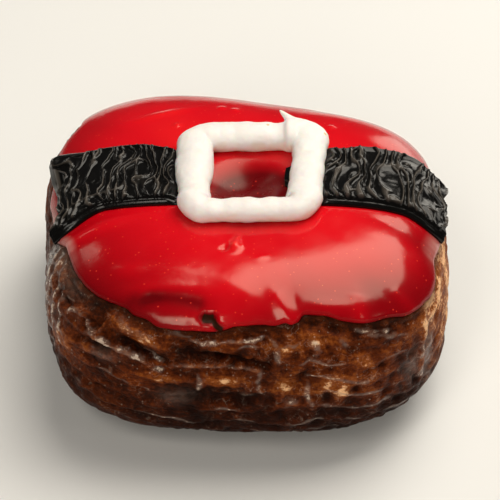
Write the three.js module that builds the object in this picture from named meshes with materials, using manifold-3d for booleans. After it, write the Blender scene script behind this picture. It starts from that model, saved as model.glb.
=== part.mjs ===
// Croissant doughnut, iced on top, with a piped belt in two lengths and a piped buckle.
// Millimetres, +Z up. The belt runs along X, and the doughnut rests on the flat of its base at z = 0.
import * as THREE from "three";
import { mergeVertices } from "three/addons/utils/BufferGeometryUtils.js";
import Module from "manifold-3d";

// The whole form, out to the skin of the icing
const HALF_WIDTH = 45; // along X
const HALF_FRONT = 45.2; // towards -Y
const HALF_BACK = 42.3; // towards +Y
const TOP_SQUARENESS = 3.3; // power of the plan's rounded square at the top
const BASE_SQUARENESS = 3.1;
const WAIST_Z = 15.8; // height of the widest place
const CROWN = 26.5; // from the waist up to the middle of the top
const CROWN_POWER = 3.9; // how square the shoulder is
const BELLY_POWER = 2.4; // how square the lower edge is
const CROWN_TILT = 2.2; // the top stands this much higher at +X than at the middle
const FLAT_SHARE = 0.45; // of the base that is flat
const LOBES = [
  { waves: 1, share: 0.05, peak: 171 },
  { waves: 2, share: 0.054, peak: 135 },
  { waves: 3, share: 0.031, peak: 7 },
];

// The dimple where the doughnut's hole is iced over
const DIMPLE = { x: 0.3, y: -1.5, radius: 10.5, depth: 4.5 };

// The icing
const ICING = 1.7; // thickness
const LIP = 0.55; // how far its rim stands proud
const LIP_FADE = 4.5; // distance over which the rim sinks back into the skin
const LIP_ROUND = 1.5; // height of the rounded rim
const RIM_ANGLE = 41; // how high the rim lies, as the angle of the form's profile
const DRIPS = [
  { at: 0, fall: 4.5, width: 18 },
  { at: 60, fall: 5.5, width: 10 },
  { at: 97, fall: 2, width: 11 },
  { at: 133, fall: 6, width: 11 },
  { at: 179, fall: 4.5, width: 20 },
  { at: 237, fall: -2.5, width: 5 },
  { at: 256, fall: 4, width: 10 },
  { at: 287, fall: 1.5, width: 4 },
  { at: 309, fall: 4.5, width: 8 },
  { at: 323, fall: 8, width: 6 },
];

// The pastry
const GAP = 0.3; // between pieces that touch
const LAYERS = 14; // layers that show round the side
const LAYER_LUMP = 0.55; // mean height of a layer's ridge over its groove, halved
const CALM_SHARE = 0.65; // of that height, where the layers swell least
const SWELL_SHARE = 0.9; // what is added where they swell most
// How far a row of the side wanders up or down, in mm, so that layers run askew and merge: each is a wave
// round the form, turned on by so many radians for each layer further down
const WANDER = [
  { size: 1.1, waves: 2, turn: 0.12, start: 0.6 },
  { size: 0.6, waves: 5, turn: 0.45, start: 2.1 },
  { size: 0.3, waves: 11, turn: -0.9, start: 0.4 },
];
const FLAKES = [
  { size: 0.14, waves: 17, turn: 2.9, start: 0 },
  { size: 0.1, waves: 23, turn: -1.3, start: 0 },
];
const SWELLS = [
  { size: 1, waves: 4, turn: 1.7, start: 0 },
  { size: 1, waves: 3, turn: -0.8, start: Math.PI / 2 },
];
const SIDE_SET = 0.7; // the middle of the relief lies this far inside the form
const UNDERCUT = 1; // the side starts this far inside, under the icing's rim
const HEM = 2.2; // height over which it comes out to its full size
const BASE_FADE = 4; // height over which all of this sinks into the base
const RIM_FADE = 0.2; // share of the side over which the ridges begin, under the icing
const STILL_SHARE = 0.25; // share of it, at either end, over which the rows begin to wander
const BLISTERS = [
  { at: 224, arc: 43, width: 5, height: 2.4, rise: 1.6 },
  { at: 262, arc: 37, width: 13, height: 2.2, rise: -1.5 },
  { at: 300, arc: 40, width: 8, height: 3, rise: 1.1 },
  { at: 245, arc: 24, width: 10, height: 3, rise: 1 },
  { at: 332, arc: 30, width: 10, height: 4, rise: 0.8 },
  { at: 40, arc: 38, width: 9, height: 3, rise: 1.3 },
  { at: 85, arc: 30, width: 12, height: 2.6, rise: -1.3 },
  { at: 120, arc: 41, width: 7, height: 2.6, rise: 1.4 },
  { at: 165, arc: 33, width: 9, height: 3, rise: 1.2 },
];

// The belt
const BELT_Y = 0.3; // middle of the band
const BELT_HALF = 9.8; // half of its width
const BELT_THICK = 2.7; // to the top of its ribs
const BELT_TUCK = 1.3; // its thickness under the buckle
const RIB = 0.75; // depth of the grooves between ribs
const RIB_PITCH = 2.1;
const RIB_WAVE = { size: 0.3, perRow: 3.1, across: 4 }; // how the grooves' depth varies
const RIB_SKEW = { size: 0.45, perRow: 0.6, across: 5 }; // how the ribs sway along the band
const CREST_SHARE = 0.12; // of a groove's depth that a rib's crest loses
const CURVE_LENGTH = 1.22; // length over the curve of the top for each mm along X
const BELT_FOOT = 40.3; // where its outer ends stand on the form
const TUCK_RISE = 2.5; // distance in which it comes up to its full thickness beside the buckle
// How an edge leaves its straight line: how far outwards, from where and over what length
const LEFT_FLARE = { out: 5.2, from: 30, over: 10.5 };
const LEFT_FLAP = { out: 3.4, from: 34, over: 6.5 };
const RIGHT_FLARE = { out: 1.9, from: 33, over: 7 };
const RIGHT_TAPER = { out: -2.2, from: 36, over: 5 };
const TIP = { from: 13.5, over: 6, front: -3, back: 2.4 }; // the round tip inside the buckle
// The band's section from its front edge, a smooth ledge, to its back edge: shares of its width and thickness
const BELT_SECTION = [
  { share: 0, height: 0.36, ribs: 0 },
  { share: 0.04, height: 0.48, ribs: 0 },
  { share: 0.08, height: 0.95, ribs: 1 },
  { share: 0.25, height: 1, ribs: 1 },
  { share: 0.42, height: 1, ribs: 1 },
  { share: 0.6, height: 1, ribs: 1 },
  { share: 0.78, height: 1, ribs: 1 },
  { share: 0.95, height: 0.95, ribs: 1 },
  { share: 1, height: 0.5, ribs: 0.6 },
];
const BELT_END = { width: 0.86, thickness: 0.55 }; // how the ends close, as shares

// The buckle
const BUCKLE = { x: 0.1, y: -1, halfX: 12.3, halfY: 13.9, turn: 4, corner: 4.8 }; // of its middle line
const BAR = { left: [3.9, 4.4], right: [3.75, 4.4], far: [4.5, 5], near: [3.4, 4.1] }; // half width, height
const BAR_SECTION = [-18, 12, 42, 66, 90, 114, 138, 168, 198]; // angles round the bar, 90 being its crest
const BAR_WAIST = 0.36; // share of the bar's height at which it is widest
const BAR_FOOT = [-0.55, 0, 0.55]; // shares of its half width where it stands on the icing
const BULGES = [
  { size: 0.05, perRow: 0.9, start: 0 },
  { size: 0.035, perRow: 2.3, start: 1 },
];
const SPLAY = 0.006; // for each mm towards the back, the buckle is this share wider
const TAIL = { x: 8.6, y: 13.6, reach: [-2.6, 2, 3.9], radius: 1.5, sink: 1.3, bend: 0.7 };

const AROUND = 72; // points round the form
const TOP_RINGS = 9;
const SIDE_RINGS = 2 * LAYERS;
const RAD = Math.PI / 180;

const wasm = await Module();
wasm.setup();

const smooth = (t) => THREE.MathUtils.smoothstep(t, 0, 1);

// Distance between two angles in degrees, from -180 to 180.
const turnFrom = (a, b) => ((((a - b) % 360) + 540) % 360) - 180;

// Radius of the plan at an angle in radians; high is 0 at the base and 1 at the top.
function planRadius(theta, high) {
  const across = Math.abs(Math.cos(theta)) / HALF_WIDTH;
  const along = Math.abs(Math.sin(theta)) / (Math.sin(theta) < 0 ? HALF_FRONT : HALF_BACK);
  const square = (power) => (across ** power + along ** power) ** (-1 / power);
  let lobes = 1;
  for (const { waves, share, peak } of LOBES) lobes += share * Math.cos(waves * (theta - peak * RAD));
  return lobes * THREE.MathUtils.lerp(square(BASE_SQUARENESS), square(TOP_SQUARENESS), high);
}

function dimpleDepth(x, y) {
  const away = Math.hypot(x - DIMPLE.x, y - DIMPLE.y) / DIMPLE.radius;
  return away < 1 ? DIMPLE.depth * (1 - away ** 2) ** 2 : 0;
}

const crownAt = (x) => CROWN + (CROWN_TILT * x) / HALF_WIDTH;

// The form at an angle round it and a profile angle: 90 is the top's middle, 0 the waist, -90 the flat's rim.
function formPoint(theta, profile) {
  const power = profile > 0 ? CROWN_POWER : BELLY_POWER;
  const out = Math.max(Math.cos(profile * RAD), 0);
  const up = Math.abs(Math.sin(profile * RAD));
  const size = (out ** power + up ** power) ** (1 / power);
  const reach = profile > 0 ? out / size : FLAT_SHARE + ((1 - FLAT_SHARE) * out) / size;
  const rise = (Math.sign(profile) * up) / size;
  const radius = reach * planRadius(theta, THREE.MathUtils.clamp(0.5 + rise, 0, 1));
  const [x, y] = [radius * Math.cos(theta), radius * Math.sin(theta)];
  const z = WAIST_Z + (profile > 0 ? rise * crownAt(x) - dimpleDepth(x, y) : rise * WAIST_Z);
  return new THREE.Vector3(x, y, z);
}

function formNormal(theta, profile) {
  const step = 0.4;
  const low = Math.max(profile - step, -90);
  const high = Math.min(profile + step, 89.5);
  const offPole = Math.min(profile, 89);
  const round = formPoint(theta + step * RAD, offPole).sub(formPoint(theta - step * RAD, offPole));
  const rise = formPoint(theta, high).sub(formPoint(theta, low));
  return round.cross(rise).normalize();
}

// A point lifted off the form along its normal.
function lifted(theta, profile, lift) {
  if (profile > 89.9) return new THREE.Vector3(0, 0, formPoint(theta, 90).z + lift);
  const point = formPoint(theta, profile).addScaledVector(formNormal(theta, profile), lift);
  point.z = Math.max(point.z, 0);
  return point;
}

// Profile angles at equal steps of arc, measured on the profile at theta = -90 from the flat's rim up
const ARC = [0];
for (let angle = -89; angle <= 90; angle += 1) {
  const step = formPoint(-Math.PI / 2, angle).distanceTo(formPoint(-Math.PI / 2, angle - 1));
  ARC.push(ARC[ARC.length - 1] + step);
}

function arcAt(profile) {
  const place = THREE.MathUtils.clamp(profile + 90, 0, 180);
  const below = Math.min(Math.floor(place), 179);
  return THREE.MathUtils.lerp(ARC[below], ARC[below + 1], place - below);
}

function profileAt(arc) {
  const above = ARC.findIndex((length) => length > arc);
  if (above <= 0) return above < 0 ? 90 : -90;
  return above - 91 + (arc - ARC[above - 1]) / (ARC[above] - ARC[above - 1]);
}

// Profile angle of the icing's rim at an angle in radians
function rimProfile(theta) {
  let angle = RIM_ANGLE;
  for (const { at, fall, width } of DRIPS) {
    angle -= fall * Math.exp(-((turnFrom(theta / RAD, at) / width) ** 4));
  }
  return angle;
}

// How far the icing's skin stands proud of the form: only near its rim.
function lipLift(theta, profile) {
  const toRim = arcAt(profile) - arcAt(rimProfile(theta));
  return LIP * (1 - smooth(toRim / LIP_FADE));
}

const ringOf = (pointAt) =>
  Array.from({ length: AROUND }, (_, i) => pointAt((2 * Math.PI * i) / AROUND));

// A closed body from points and triangles, turned so that its faces point out.
function closedBody(points, triangles) {
  const geometry = new THREE.BufferGeometry().setFromPoints(points);
  let volume = 0;
  for (const [a, b, c] of triangles) {
    volume += points[a].dot(points[b].clone().cross(points[c]));
  }
  geometry.setIndex(triangles.flatMap(([a, b, c]) => (volume > 0 ? [a, b, c] : [a, c, b])));
  return geometry;
}

// A body through rings of points. A ring of one point closes an end, and a wider end is closed flat.
// Each four-sided face is split along its shorter diagonal.
function loft(rings, closesOnItself = false) {
  const points = rings.flat();
  const starts = [];
  rings.reduce((start, ring) => (starts.push(start), start + ring.length), 0);
  const triangles = [];
  const join = (lower, upper) => {
    const [a, b] = [starts[lower], starts[upper]];
    const [m, n] = [rings[lower].length, rings[upper].length];
    for (let i = 0; i < Math.max(m, n); i += 1) {
      const j = (i + 1) % Math.max(m, n);
      const [low, lowNext, high, highNext] = [a + (m > 1 ? i : 0), a + j, b + (n > 1 ? i : 0), b + j];
      if (m === 1) triangles.push([low, highNext, high]);
      else if (n === 1) triangles.push([low, lowNext, high]);
      else if (points[low].distanceTo(points[highNext]) < points[lowNext].distanceTo(points[high])) {
        triangles.push([low, lowNext, highNext], [low, highNext, high]);
      } else triangles.push([low, lowNext, high], [lowNext, highNext, high]);
    }
  };
  for (let i = 0; i + 1 < rings.length; i += 1) join(i, i + 1);
  if (closesOnItself) join(rings.length - 1, 0);
  else {
    const cap = (ring, start, flip) => {
      for (let i = 1; i + 1 < ring.length; i += 1) {
        const [second, third] = flip ? [i + 1, i] : [i, i + 1];
        triangles.push([start, start + second, start + third]);
      }
    };
    cap(rings[0], starts[0], true);
    cap(rings[rings.length - 1], starts[starts.length - 1], false);
  }
  return closedBody(points, triangles);
}

function toSolid(geometry) {
  const bare = geometry.clone();
  bare.deleteAttribute("normal");
  bare.deleteAttribute("uv");
  const merged = mergeVertices(bare, 1e-4);
  return new wasm.Manifold(
    new wasm.Mesh({
      numProp: 3,
      vertProperties: merged.attributes.position.array,
      triVerts: new Uint32Array(merged.index.array),
    }),
  );
}

function toGeometry(solid) {
  const { vertProperties, triVerts } = solid.getMesh();
  const geometry = new THREE.BufferGeometry();
  geometry.setAttribute("position", new THREE.BufferAttribute(vertProperties, 3));
  geometry.setIndex(new THREE.BufferAttribute(triVerts, 1));
  return geometry;
}

// Profile angles of the rings under and over the icing, the same share of the way to the rim for both
const topProfile = (theta, ring) => 90 - ((90 - rimProfile(theta)) * ring) / TOP_RINGS;

function icingGeometry() {
  const pole = (lift) => [lifted(0, 90, lift)];
  const skin = (ring) =>
    ringOf((theta) => {
      const profile = topProfile(theta, ring);
      return lifted(theta, profile, lipLift(theta, profile));
    });
  const rim = (drop, lift) =>
    ringOf((theta) => lifted(theta, profileAt(arcAt(rimProfile(theta)) - drop), lift));
  const inner = (ring) => ringOf((theta) => lifted(theta, topProfile(theta, ring), -ICING));
  const rings = [pole(0)];
  for (let ring = 1; ring <= TOP_RINGS; ring += 1) rings.push(skin(ring));
  rings.push(rim(0.7 * LIP_ROUND, 0.6 * LIP), rim(LIP_ROUND, -0.3 * ICING), rim(0.7 * LIP_ROUND, -ICING));
  for (let ring = TOP_RINGS; ring >= 1; ring -= 1) rings.push(inner(ring));
  rings.push(pole(-ICING));
  return loft(rings);
}

const waveAt = ({ size, waves, turn, start }, theta, layer) =>
  size * Math.sin(waves * theta + turn * layer + start);

const wavesAt = (waves, theta, layer) => waves.reduce((sum, wave) => sum + waveAt(wave, theta, layer), 0);

// How far a ridge, at a whole layer, stands out or the groove between two layers sinks in.
function layerLift(theta, layer) {
  const swell = 0.5 + 0.5 * waveAt(SWELLS[0], theta, layer) * waveAt(SWELLS[1], theta, layer);
  const side = Number.isInteger(layer) ? 1 : -1;
  return side * LAYER_LUMP * (CALM_SHARE + SWELL_SHARE * swell) + wavesAt(FLAKES, theta, layer);
}

function blisterLift(theta, arc) {
  let lift = 0;
  for (const { at, arc: middle, width, height, rise } of BLISTERS) {
    const across = turnFrom(theta / RAD, at) / width;
    const up = (arc - middle) / height;
    lift += rise * Math.exp(-(across ** 2) - up ** 2);
  }
  return lift;
}

function sidePoint(theta, ring) {
  const top = arcAt(rimProfile(theta)) - LIP_ROUND - 2 * GAP;
  const share = ring / SIDE_RINGS;
  const still = Math.min(1, share / STILL_SHARE, (1 - share) / STILL_SHARE);
  const arc = top * (1 - share) + still * wavesAt(WANDER, theta, ring / 2);
  const hem = THREE.MathUtils.lerp(-UNDERCUT, -SIDE_SET, smooth((top - arc) / HEM));
  const profile = profileAt(arc);
  const toBase = smooth(formPoint(theta, profile).z / BASE_FADE);
  const fromRim = Math.min(1, share / RIM_FADE);
  const relief = layerLift(theta, ring / 2) + blisterLift(theta, arc);
  return lifted(theta, profile, toBase * (hem + fromRim * relief));
}

function pastryGeometry() {
  const under = -(ICING + GAP);
  const rings = [[lifted(0, 90, under)]];
  for (let ring = 1; ring <= TOP_RINGS; ring += 1) {
    rings.push(ringOf((theta) => lifted(theta, topProfile(theta, ring), under)));
  }
  rings.push(ringOf((theta) => lifted(theta, profileAt(arcAt(rimProfile(theta)) - LIP_ROUND - GAP), under)));
  for (let ring = 0; ring <= SIDE_RINGS; ring += 1) rings.push(ringOf((theta) => sidePoint(theta, ring)));
  rings.push([new THREE.Vector3(0, 0, 0)]);
  return loft(rings);
}

// A point over the icing: lift is measured from its skin, along the form's normal.
function overTop(x, y, lift) {
  const theta = Math.atan2(y, x);
  const reachAt = (px, py) => Math.min(Math.hypot(px, py) / planRadius(Math.atan2(py, px), 1), 0.999);
  const riseAt = (reach) => (1 - reach ** CROWN_POWER) ** (1 / CROWN_POWER);
  const height = (px, py) => WAIST_Z + riseAt(reachAt(px, py)) * crownAt(px) - dimpleDepth(px, py);
  const step = 0.2;
  const slopeX = (height(x + step, y) - height(x - step, y)) / (2 * step);
  const slopeY = (height(x, y + step) - height(x, y - step)) / (2 * step);
  const normal = new THREE.Vector3(-slopeX, -slopeY, 1).normalize();
  const profile = Math.atan2(riseAt(reachAt(x, y)), reachAt(x, y)) / RAD;
  return new THREE.Vector3(x, y, height(x, y)).addScaledVector(normal, lift + lipLift(theta, profile));
}

// Places along the band, at equal steps over the curve of the top.
function alongTop(from, to, steps) {
  const fine = Array.from({ length: 201 }, (_, i) => THREE.MathUtils.lerp(from, to, i / 200));
  const lengths = [0];
  for (let i = 1; i < fine.length; i += 1) {
    const step = overTop(fine[i], BELT_Y, 0).distanceTo(overTop(fine[i - 1], BELT_Y, 0));
    lengths.push(lengths[i - 1] + step);
  }
  const whole = lengths[lengths.length - 1];
  return Array.from({ length: steps + 1 }, (_, k) => {
    const wanted = (whole * k) / steps;
    const above = Math.max(1, lengths.findIndex((length) => length >= wanted - 1e-9));
    const share = (wanted - lengths[above - 1]) / (lengths[above] - lengths[above - 1]);
    return THREE.MathUtils.lerp(fine[above - 1], fine[above], share);
  });
}

const halfBelt = ({ out, from, over }, x) => BELT_HALF + out * smooth((Math.abs(x) - from) / over);

// Where the band's front and back edges run at a place along it
const leftEdges = (x) => ({ front: -halfBelt(LEFT_FLARE, x), back: halfBelt(LEFT_FLAP, x) });

function rightEdges(x) {
  const point = smooth((TIP.from - x) / TIP.over);
  return {
    front: THREE.MathUtils.lerp(-halfBelt(RIGHT_FLARE, x), TIP.front, point),
    back: THREE.MathUtils.lerp(halfBelt(RIGHT_TAPER, x), TIP.back, point),
  };
}

// One length of the belt, from under the buckle out to its free end. grow widens it all round.
function beltGeometry({ from, to, edges, tuckedTo, seed }, grow) {
  const places = alongTop(from, to, Math.round((2 * Math.abs(to - from) * CURVE_LENGTH) / RIB_PITCH));
  const last = places.length - 1;
  const rings = places.map((x, k) => {
    const { front, back } = edges(x);
    const atEnd = k === 0 || k === last;
    const clear = smooth((Math.abs(x) - tuckedTo) / TUCK_RISE);
    const free = atEnd ? 0 : clear;
    const full = THREE.MathUtils.lerp(BELT_TUCK, BELT_THICK, clear);
    const thick = full * (atEnd ? BELT_END.thickness : 1);
    const middle = BELT_Y + 0.5 * (front + back);
    const half = (0.5 * (back - front) + grow) * (atEnd ? BELT_END.width : 1);
    const push = atEnd ? Math.sign(to - from) * (k ? grow : -grow) : 0;
    const yAt = (share) => middle + half * (2 * share - 1);
    const top = BELT_SECTION.map(({ share, height, ribs }) => {
      const wave = 1 + RIB_WAVE.size * (Math.sin(RIB_WAVE.perRow * k + RIB_WAVE.across * share + seed) - 1);
      const groove = (k % 2 ? 1 : CREST_SHARE) * RIB * free * ribs * wave;
      const sway = Math.sin(RIB_SKEW.across * share + seed + RIB_SKEW.perRow * k);
      const skew = RIB_SKEW.size * ribs * free * sway;
      return overTop(x + push + skew, yAt(share), GAP + thick * height - groove + grow);
    });
    const bottom = [1, 0.75, 0.5, 0.25, 0].map((share) => overTop(x + push, yAt(share), GAP - grow));
    return [...top, ...bottom];
  });
  return loft(rings);
}

const BELTS = {
  belt_left: { from: -12.6, to: -BELT_FOOT, edges: leftEdges, tuckedTo: 15.2, seed: 0.4 },
  belt_right: { from: 7.9, to: BELT_FOOT, edges: rightEdges, tuckedTo: 15.4, seed: 2.2 },
};

// Stations round the buckle's middle line: the place, the way out, and the bar's half width and height
function buckleStations() {
  const { halfX, halfY, corner } = BUCKLE;
  const [insideX, insideY] = [halfX - corner, halfY - corner];
  const sides = [
    { start: [-insideX, -halfY], run: [1, 0], out: [0, -1], half: insideX, bar: BAR.near, next: BAR.right },
    { start: [halfX, -insideY], run: [0, 1], out: [1, 0], half: insideY, bar: BAR.right, next: BAR.far },
    { start: [insideX, halfY], run: [-1, 0], out: [0, 1], half: insideX, bar: BAR.far, next: BAR.left },
    { start: [-halfX, insideY], run: [0, -1], out: [-1, 0], half: insideY, bar: BAR.left, next: BAR.near },
  ];
  const stations = [];
  for (const { start, run, out, half, bar, next } of sides) {
    const length = 2 * half;
    const steps = Math.round(half);
    for (let i = 0; i <= steps; i += 1) {
      const go = (length * i) / steps;
      stations.push({ x: start[0] + run[0] * go, y: start[1] + run[1] * go, out, bar });
    }
    const pivot = [0, 1].map((k) => start[k] + run[k] * length - out[k] * corner);
    for (let i = 1; i < 4; i += 1) {
      const angle = (Math.PI / 2) * (i / 4);
      const way = [0, 1].map((k) => out[k] * Math.cos(angle) + run[k] * Math.sin(angle));
      const mixed = [0, 1].map((k) => THREE.MathUtils.lerp(bar[k], next[k], i / 4));
      stations.push({ x: pivot[0] + way[0] * corner, y: pivot[1] + way[1] * corner, out: way, bar: mixed });
    }
  }
  return stations;
}

function turnedBuckle(x, y) {
  const [c, s] = [Math.cos(BUCKLE.turn * RAD), Math.sin(BUCKLE.turn * RAD)];
  const wide = 1 + SPLAY * y;
  return [BUCKLE.x + c * x * wide - s * y, BUCKLE.y + s * x * wide + c * y];
}

function buckleGeometry() {
  const rings = buckleStations().map(({ x, y, out, bar }, k) => {
    const [halfWidth, height] = bar;
    const bulge = BULGES.reduce((sum, wave) => sum + wave.size * Math.sin(wave.perRow * k + wave.start), 1);
    const around = BAR_SECTION.map((angle) => {
      const side = halfWidth * bulge * Math.cos(angle * RAD);
      const up = height * THREE.MathUtils.lerp(BAR_WAIST, 1, Math.sin(angle * RAD));
      return overTop(...turnedBuckle(x + out[0] * side, y + out[1] * side), GAP + Math.max(up, 0));
    });
    const under = BAR_FOOT.map((share) => {
      const side = halfWidth * share;
      return overTop(...turnedBuckle(x + out[0] * side, y + out[1] * side), GAP);
    });
    return [...around, ...under];
  });
  return loft(rings, true);
}

// The pulled tail where the piping of the buckle ended
function tailGeometry() {
  const reach = new THREE.Vector3(...TAIL.reach);
  const length = reach.length() + TAIL.sink;
  const geometry = new THREE.ConeGeometry(TAIL.radius, length, 7, 3);
  geometry.translate(0, length / 2, 0);
  const position = geometry.getAttribute("position");
  for (let i = 0; i < position.count; i += 1) {
    position.setX(i, position.getX(i) - TAIL.bend * (position.getY(i) / length) ** 2);
  }
  const upright = new THREE.Vector3(0, 1, 0);
  geometry.applyQuaternion(new THREE.Quaternion().setFromUnitVectors(upright, reach.normalize()));
  const root = overTop(...turnedBuckle(TAIL.x, TAIL.y), BAR.far[1] - TAIL.sink);
  geometry.translate(root.x, root.y, root.z);
  return geometry;
}

function wholeBuckle() {
  let solid = toSolid(buckleGeometry()).add(toSolid(tailGeometry()));
  for (const belt of Object.values(BELTS)) solid = solid.subtract(toSolid(beltGeometry(belt, GAP)));
  return toGeometry(solid);
}

function named(name, geometry, color, roughness) {
  const material = new THREE.MeshStandardMaterial({ color, roughness, metalness: 0, flatShading: true });
  const mesh = new THREE.Mesh(geometry, material);
  mesh.name = name;
  return mesh;
}

const doughnut = new THREE.Group();
doughnut.add(named("pastry", pastryGeometry(), 0x6b3a1c, 0.45));
doughnut.add(named("icing", icingGeometry(), 0xc8141c, 0.12));
for (const [name, belt] of Object.entries(BELTS)) {
  doughnut.add(named(name, beltGeometry(belt, 0), 0x16120f, 0.3));
}
doughnut.add(named("buckle", wholeBuckle(), 0xf6efe4, 0.4));

// The origin is the middle of the bounding box's base
const bounds = new THREE.Box3().setFromObject(doughnut, true);
const middle = bounds.getCenter(new THREE.Vector3());
doughnut.position.set(-middle.x, -middle.y, -bounds.min.z);

export default doughnut;
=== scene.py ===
"""Looks of the croissant doughnut: crust, red icing, piped belt and piped buckle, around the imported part."""
import logging
import math
from dataclasses import dataclass, field, replace
from enum import Enum
from typing import Callable

import bmesh
import bpy
import numpy as np
from mathutils import Matrix, Vector


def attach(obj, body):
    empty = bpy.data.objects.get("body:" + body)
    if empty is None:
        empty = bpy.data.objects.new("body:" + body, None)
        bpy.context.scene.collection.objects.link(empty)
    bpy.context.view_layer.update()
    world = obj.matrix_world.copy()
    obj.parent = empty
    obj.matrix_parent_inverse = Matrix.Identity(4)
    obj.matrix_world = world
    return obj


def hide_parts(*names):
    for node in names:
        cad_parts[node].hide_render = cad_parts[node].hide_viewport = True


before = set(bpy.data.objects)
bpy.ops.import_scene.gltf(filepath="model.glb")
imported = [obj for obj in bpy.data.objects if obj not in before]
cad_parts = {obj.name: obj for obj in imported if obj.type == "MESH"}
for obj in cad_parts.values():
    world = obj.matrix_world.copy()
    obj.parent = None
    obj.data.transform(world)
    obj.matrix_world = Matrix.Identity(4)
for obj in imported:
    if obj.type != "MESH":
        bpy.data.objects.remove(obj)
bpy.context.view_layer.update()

log = logging.getLogger("doughnut")

MM = 0.001
DEGREE = 0.86  # mm round the side for each degree
SCATTER = np.array([73856093, 19349663, 83492791])  # large primes that mix a cell's three numbers
SHIFT = np.array([2.1039, -0.47, 0.0])  # from the form's own middle to the part's origin, mm
Array = np.ndarray
Socket = bpy.types.NodeSocket
Node = bpy.types.Node
NodeTree = bpy.types.NodeTree
Piece = bpy.types.Object
Material = bpy.types.Material
Colour = tuple[float, float, float, float]
Placing = Callable[[Array, Array], Array]


def srgb(red: float, green: float, blue: float) -> Colour:
    """Turns a colour as a screen shows it into the numbers that shaders use.

    Args:
        red: from 0 to 255, as are green and blue.

    Returns:
        Red, green, blue and alpha, linear.
    """
    def linear(value: float) -> float:
        """One channel, linear."""
        share = value / 255
        return share / 12.92 if share <= 0.04045 else ((share + 0.055) / 1.055) ** 2.4
    return (linear(red), linear(green), linear(blue), 1.0)


def ease(share: Array) -> Array:
    """Smooth step from 0 to 1."""
    held = np.clip(share, 0, 1)
    return held * held * (3 - 2 * held)


def mixed(low: Array, high: Array, share: Array) -> Array:
    """The value a share of the way from low to high."""
    return low + (high - low) * share


def turn_from(angle: Array, other: float) -> Array:
    """Degrees from one angle to another, from -180 to 180."""
    return (angle - other + 180) % 360 - 180


def hump(away: Array) -> Array:
    """A round hill: 1 at 0, nearly gone at 2."""
    return np.exp(-away * away)


def rounded(share: Array) -> Array:
    """How wide a round end is: 0 at its tip to 1 where it is whole."""
    return np.sqrt(1 - (1 - np.clip(share, 0, 1)) ** 2)


def spot(degrees: Array, arc: Array, at: float, middle: float, wide: float, high: float) -> Array:
    """A round hill on the side, at an angle and a height up the profile, with its two sizes."""
    return np.exp(-(turn_from(degrees, at) / wide) ** 2 - ((arc - middle) / high) ** 2)


@dataclass(frozen=True)
class Noise:
    """Smooth noise in space that is the same in each run."""

    seed: int
    cells: int = 8192

    def at(self, points: Array, size: float) -> Array:
        """Noise at points.

        Args:
            points: one row for each point, mm.
            size: distance from one bump to the next, mm.

        Returns:
            A value from -1 to 1 for each point.
        """
        values = np.random.default_rng(self.seed).uniform(-1, 1, self.cells)
        scaled = points / size + 1000.0
        corner = np.floor(scaled).astype(np.int64)
        blend = scaled - corner
        blend = blend * blend * (3 - 2 * blend)
        total = np.zeros(len(points))
        for step in np.ndindex(2, 2, 2):
            key = corner + np.array(step)
            cell = np.bitwise_xor.reduce(key * SCATTER, axis=1) % self.cells
            weight = np.prod(np.where(np.array(step) == 1, blend, 1 - blend), axis=1)
            total += weight * values[cell]
        return total

    def rough(self, points: Array, size: float, octaves: int = 3) -> Array:
        """Noise with finer and finer bumps on it.

        Args:
            points: one row for each point, mm.
            size: distance between the largest bumps, mm.
            octaves: how many sizes of bumps there are.

        Returns:
            A value for each point.
        """
        total = np.zeros(len(points))
        for step in range(octaves):
            total += self.at(points, size / 2**step) / 2**step
        return total

    def ridged(self, points: Array, size: float) -> Array:
        """Noise of sharp crests: 1 on a crest, falling to 0."""
        return 1 - np.abs(self.at(points, size))


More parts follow.
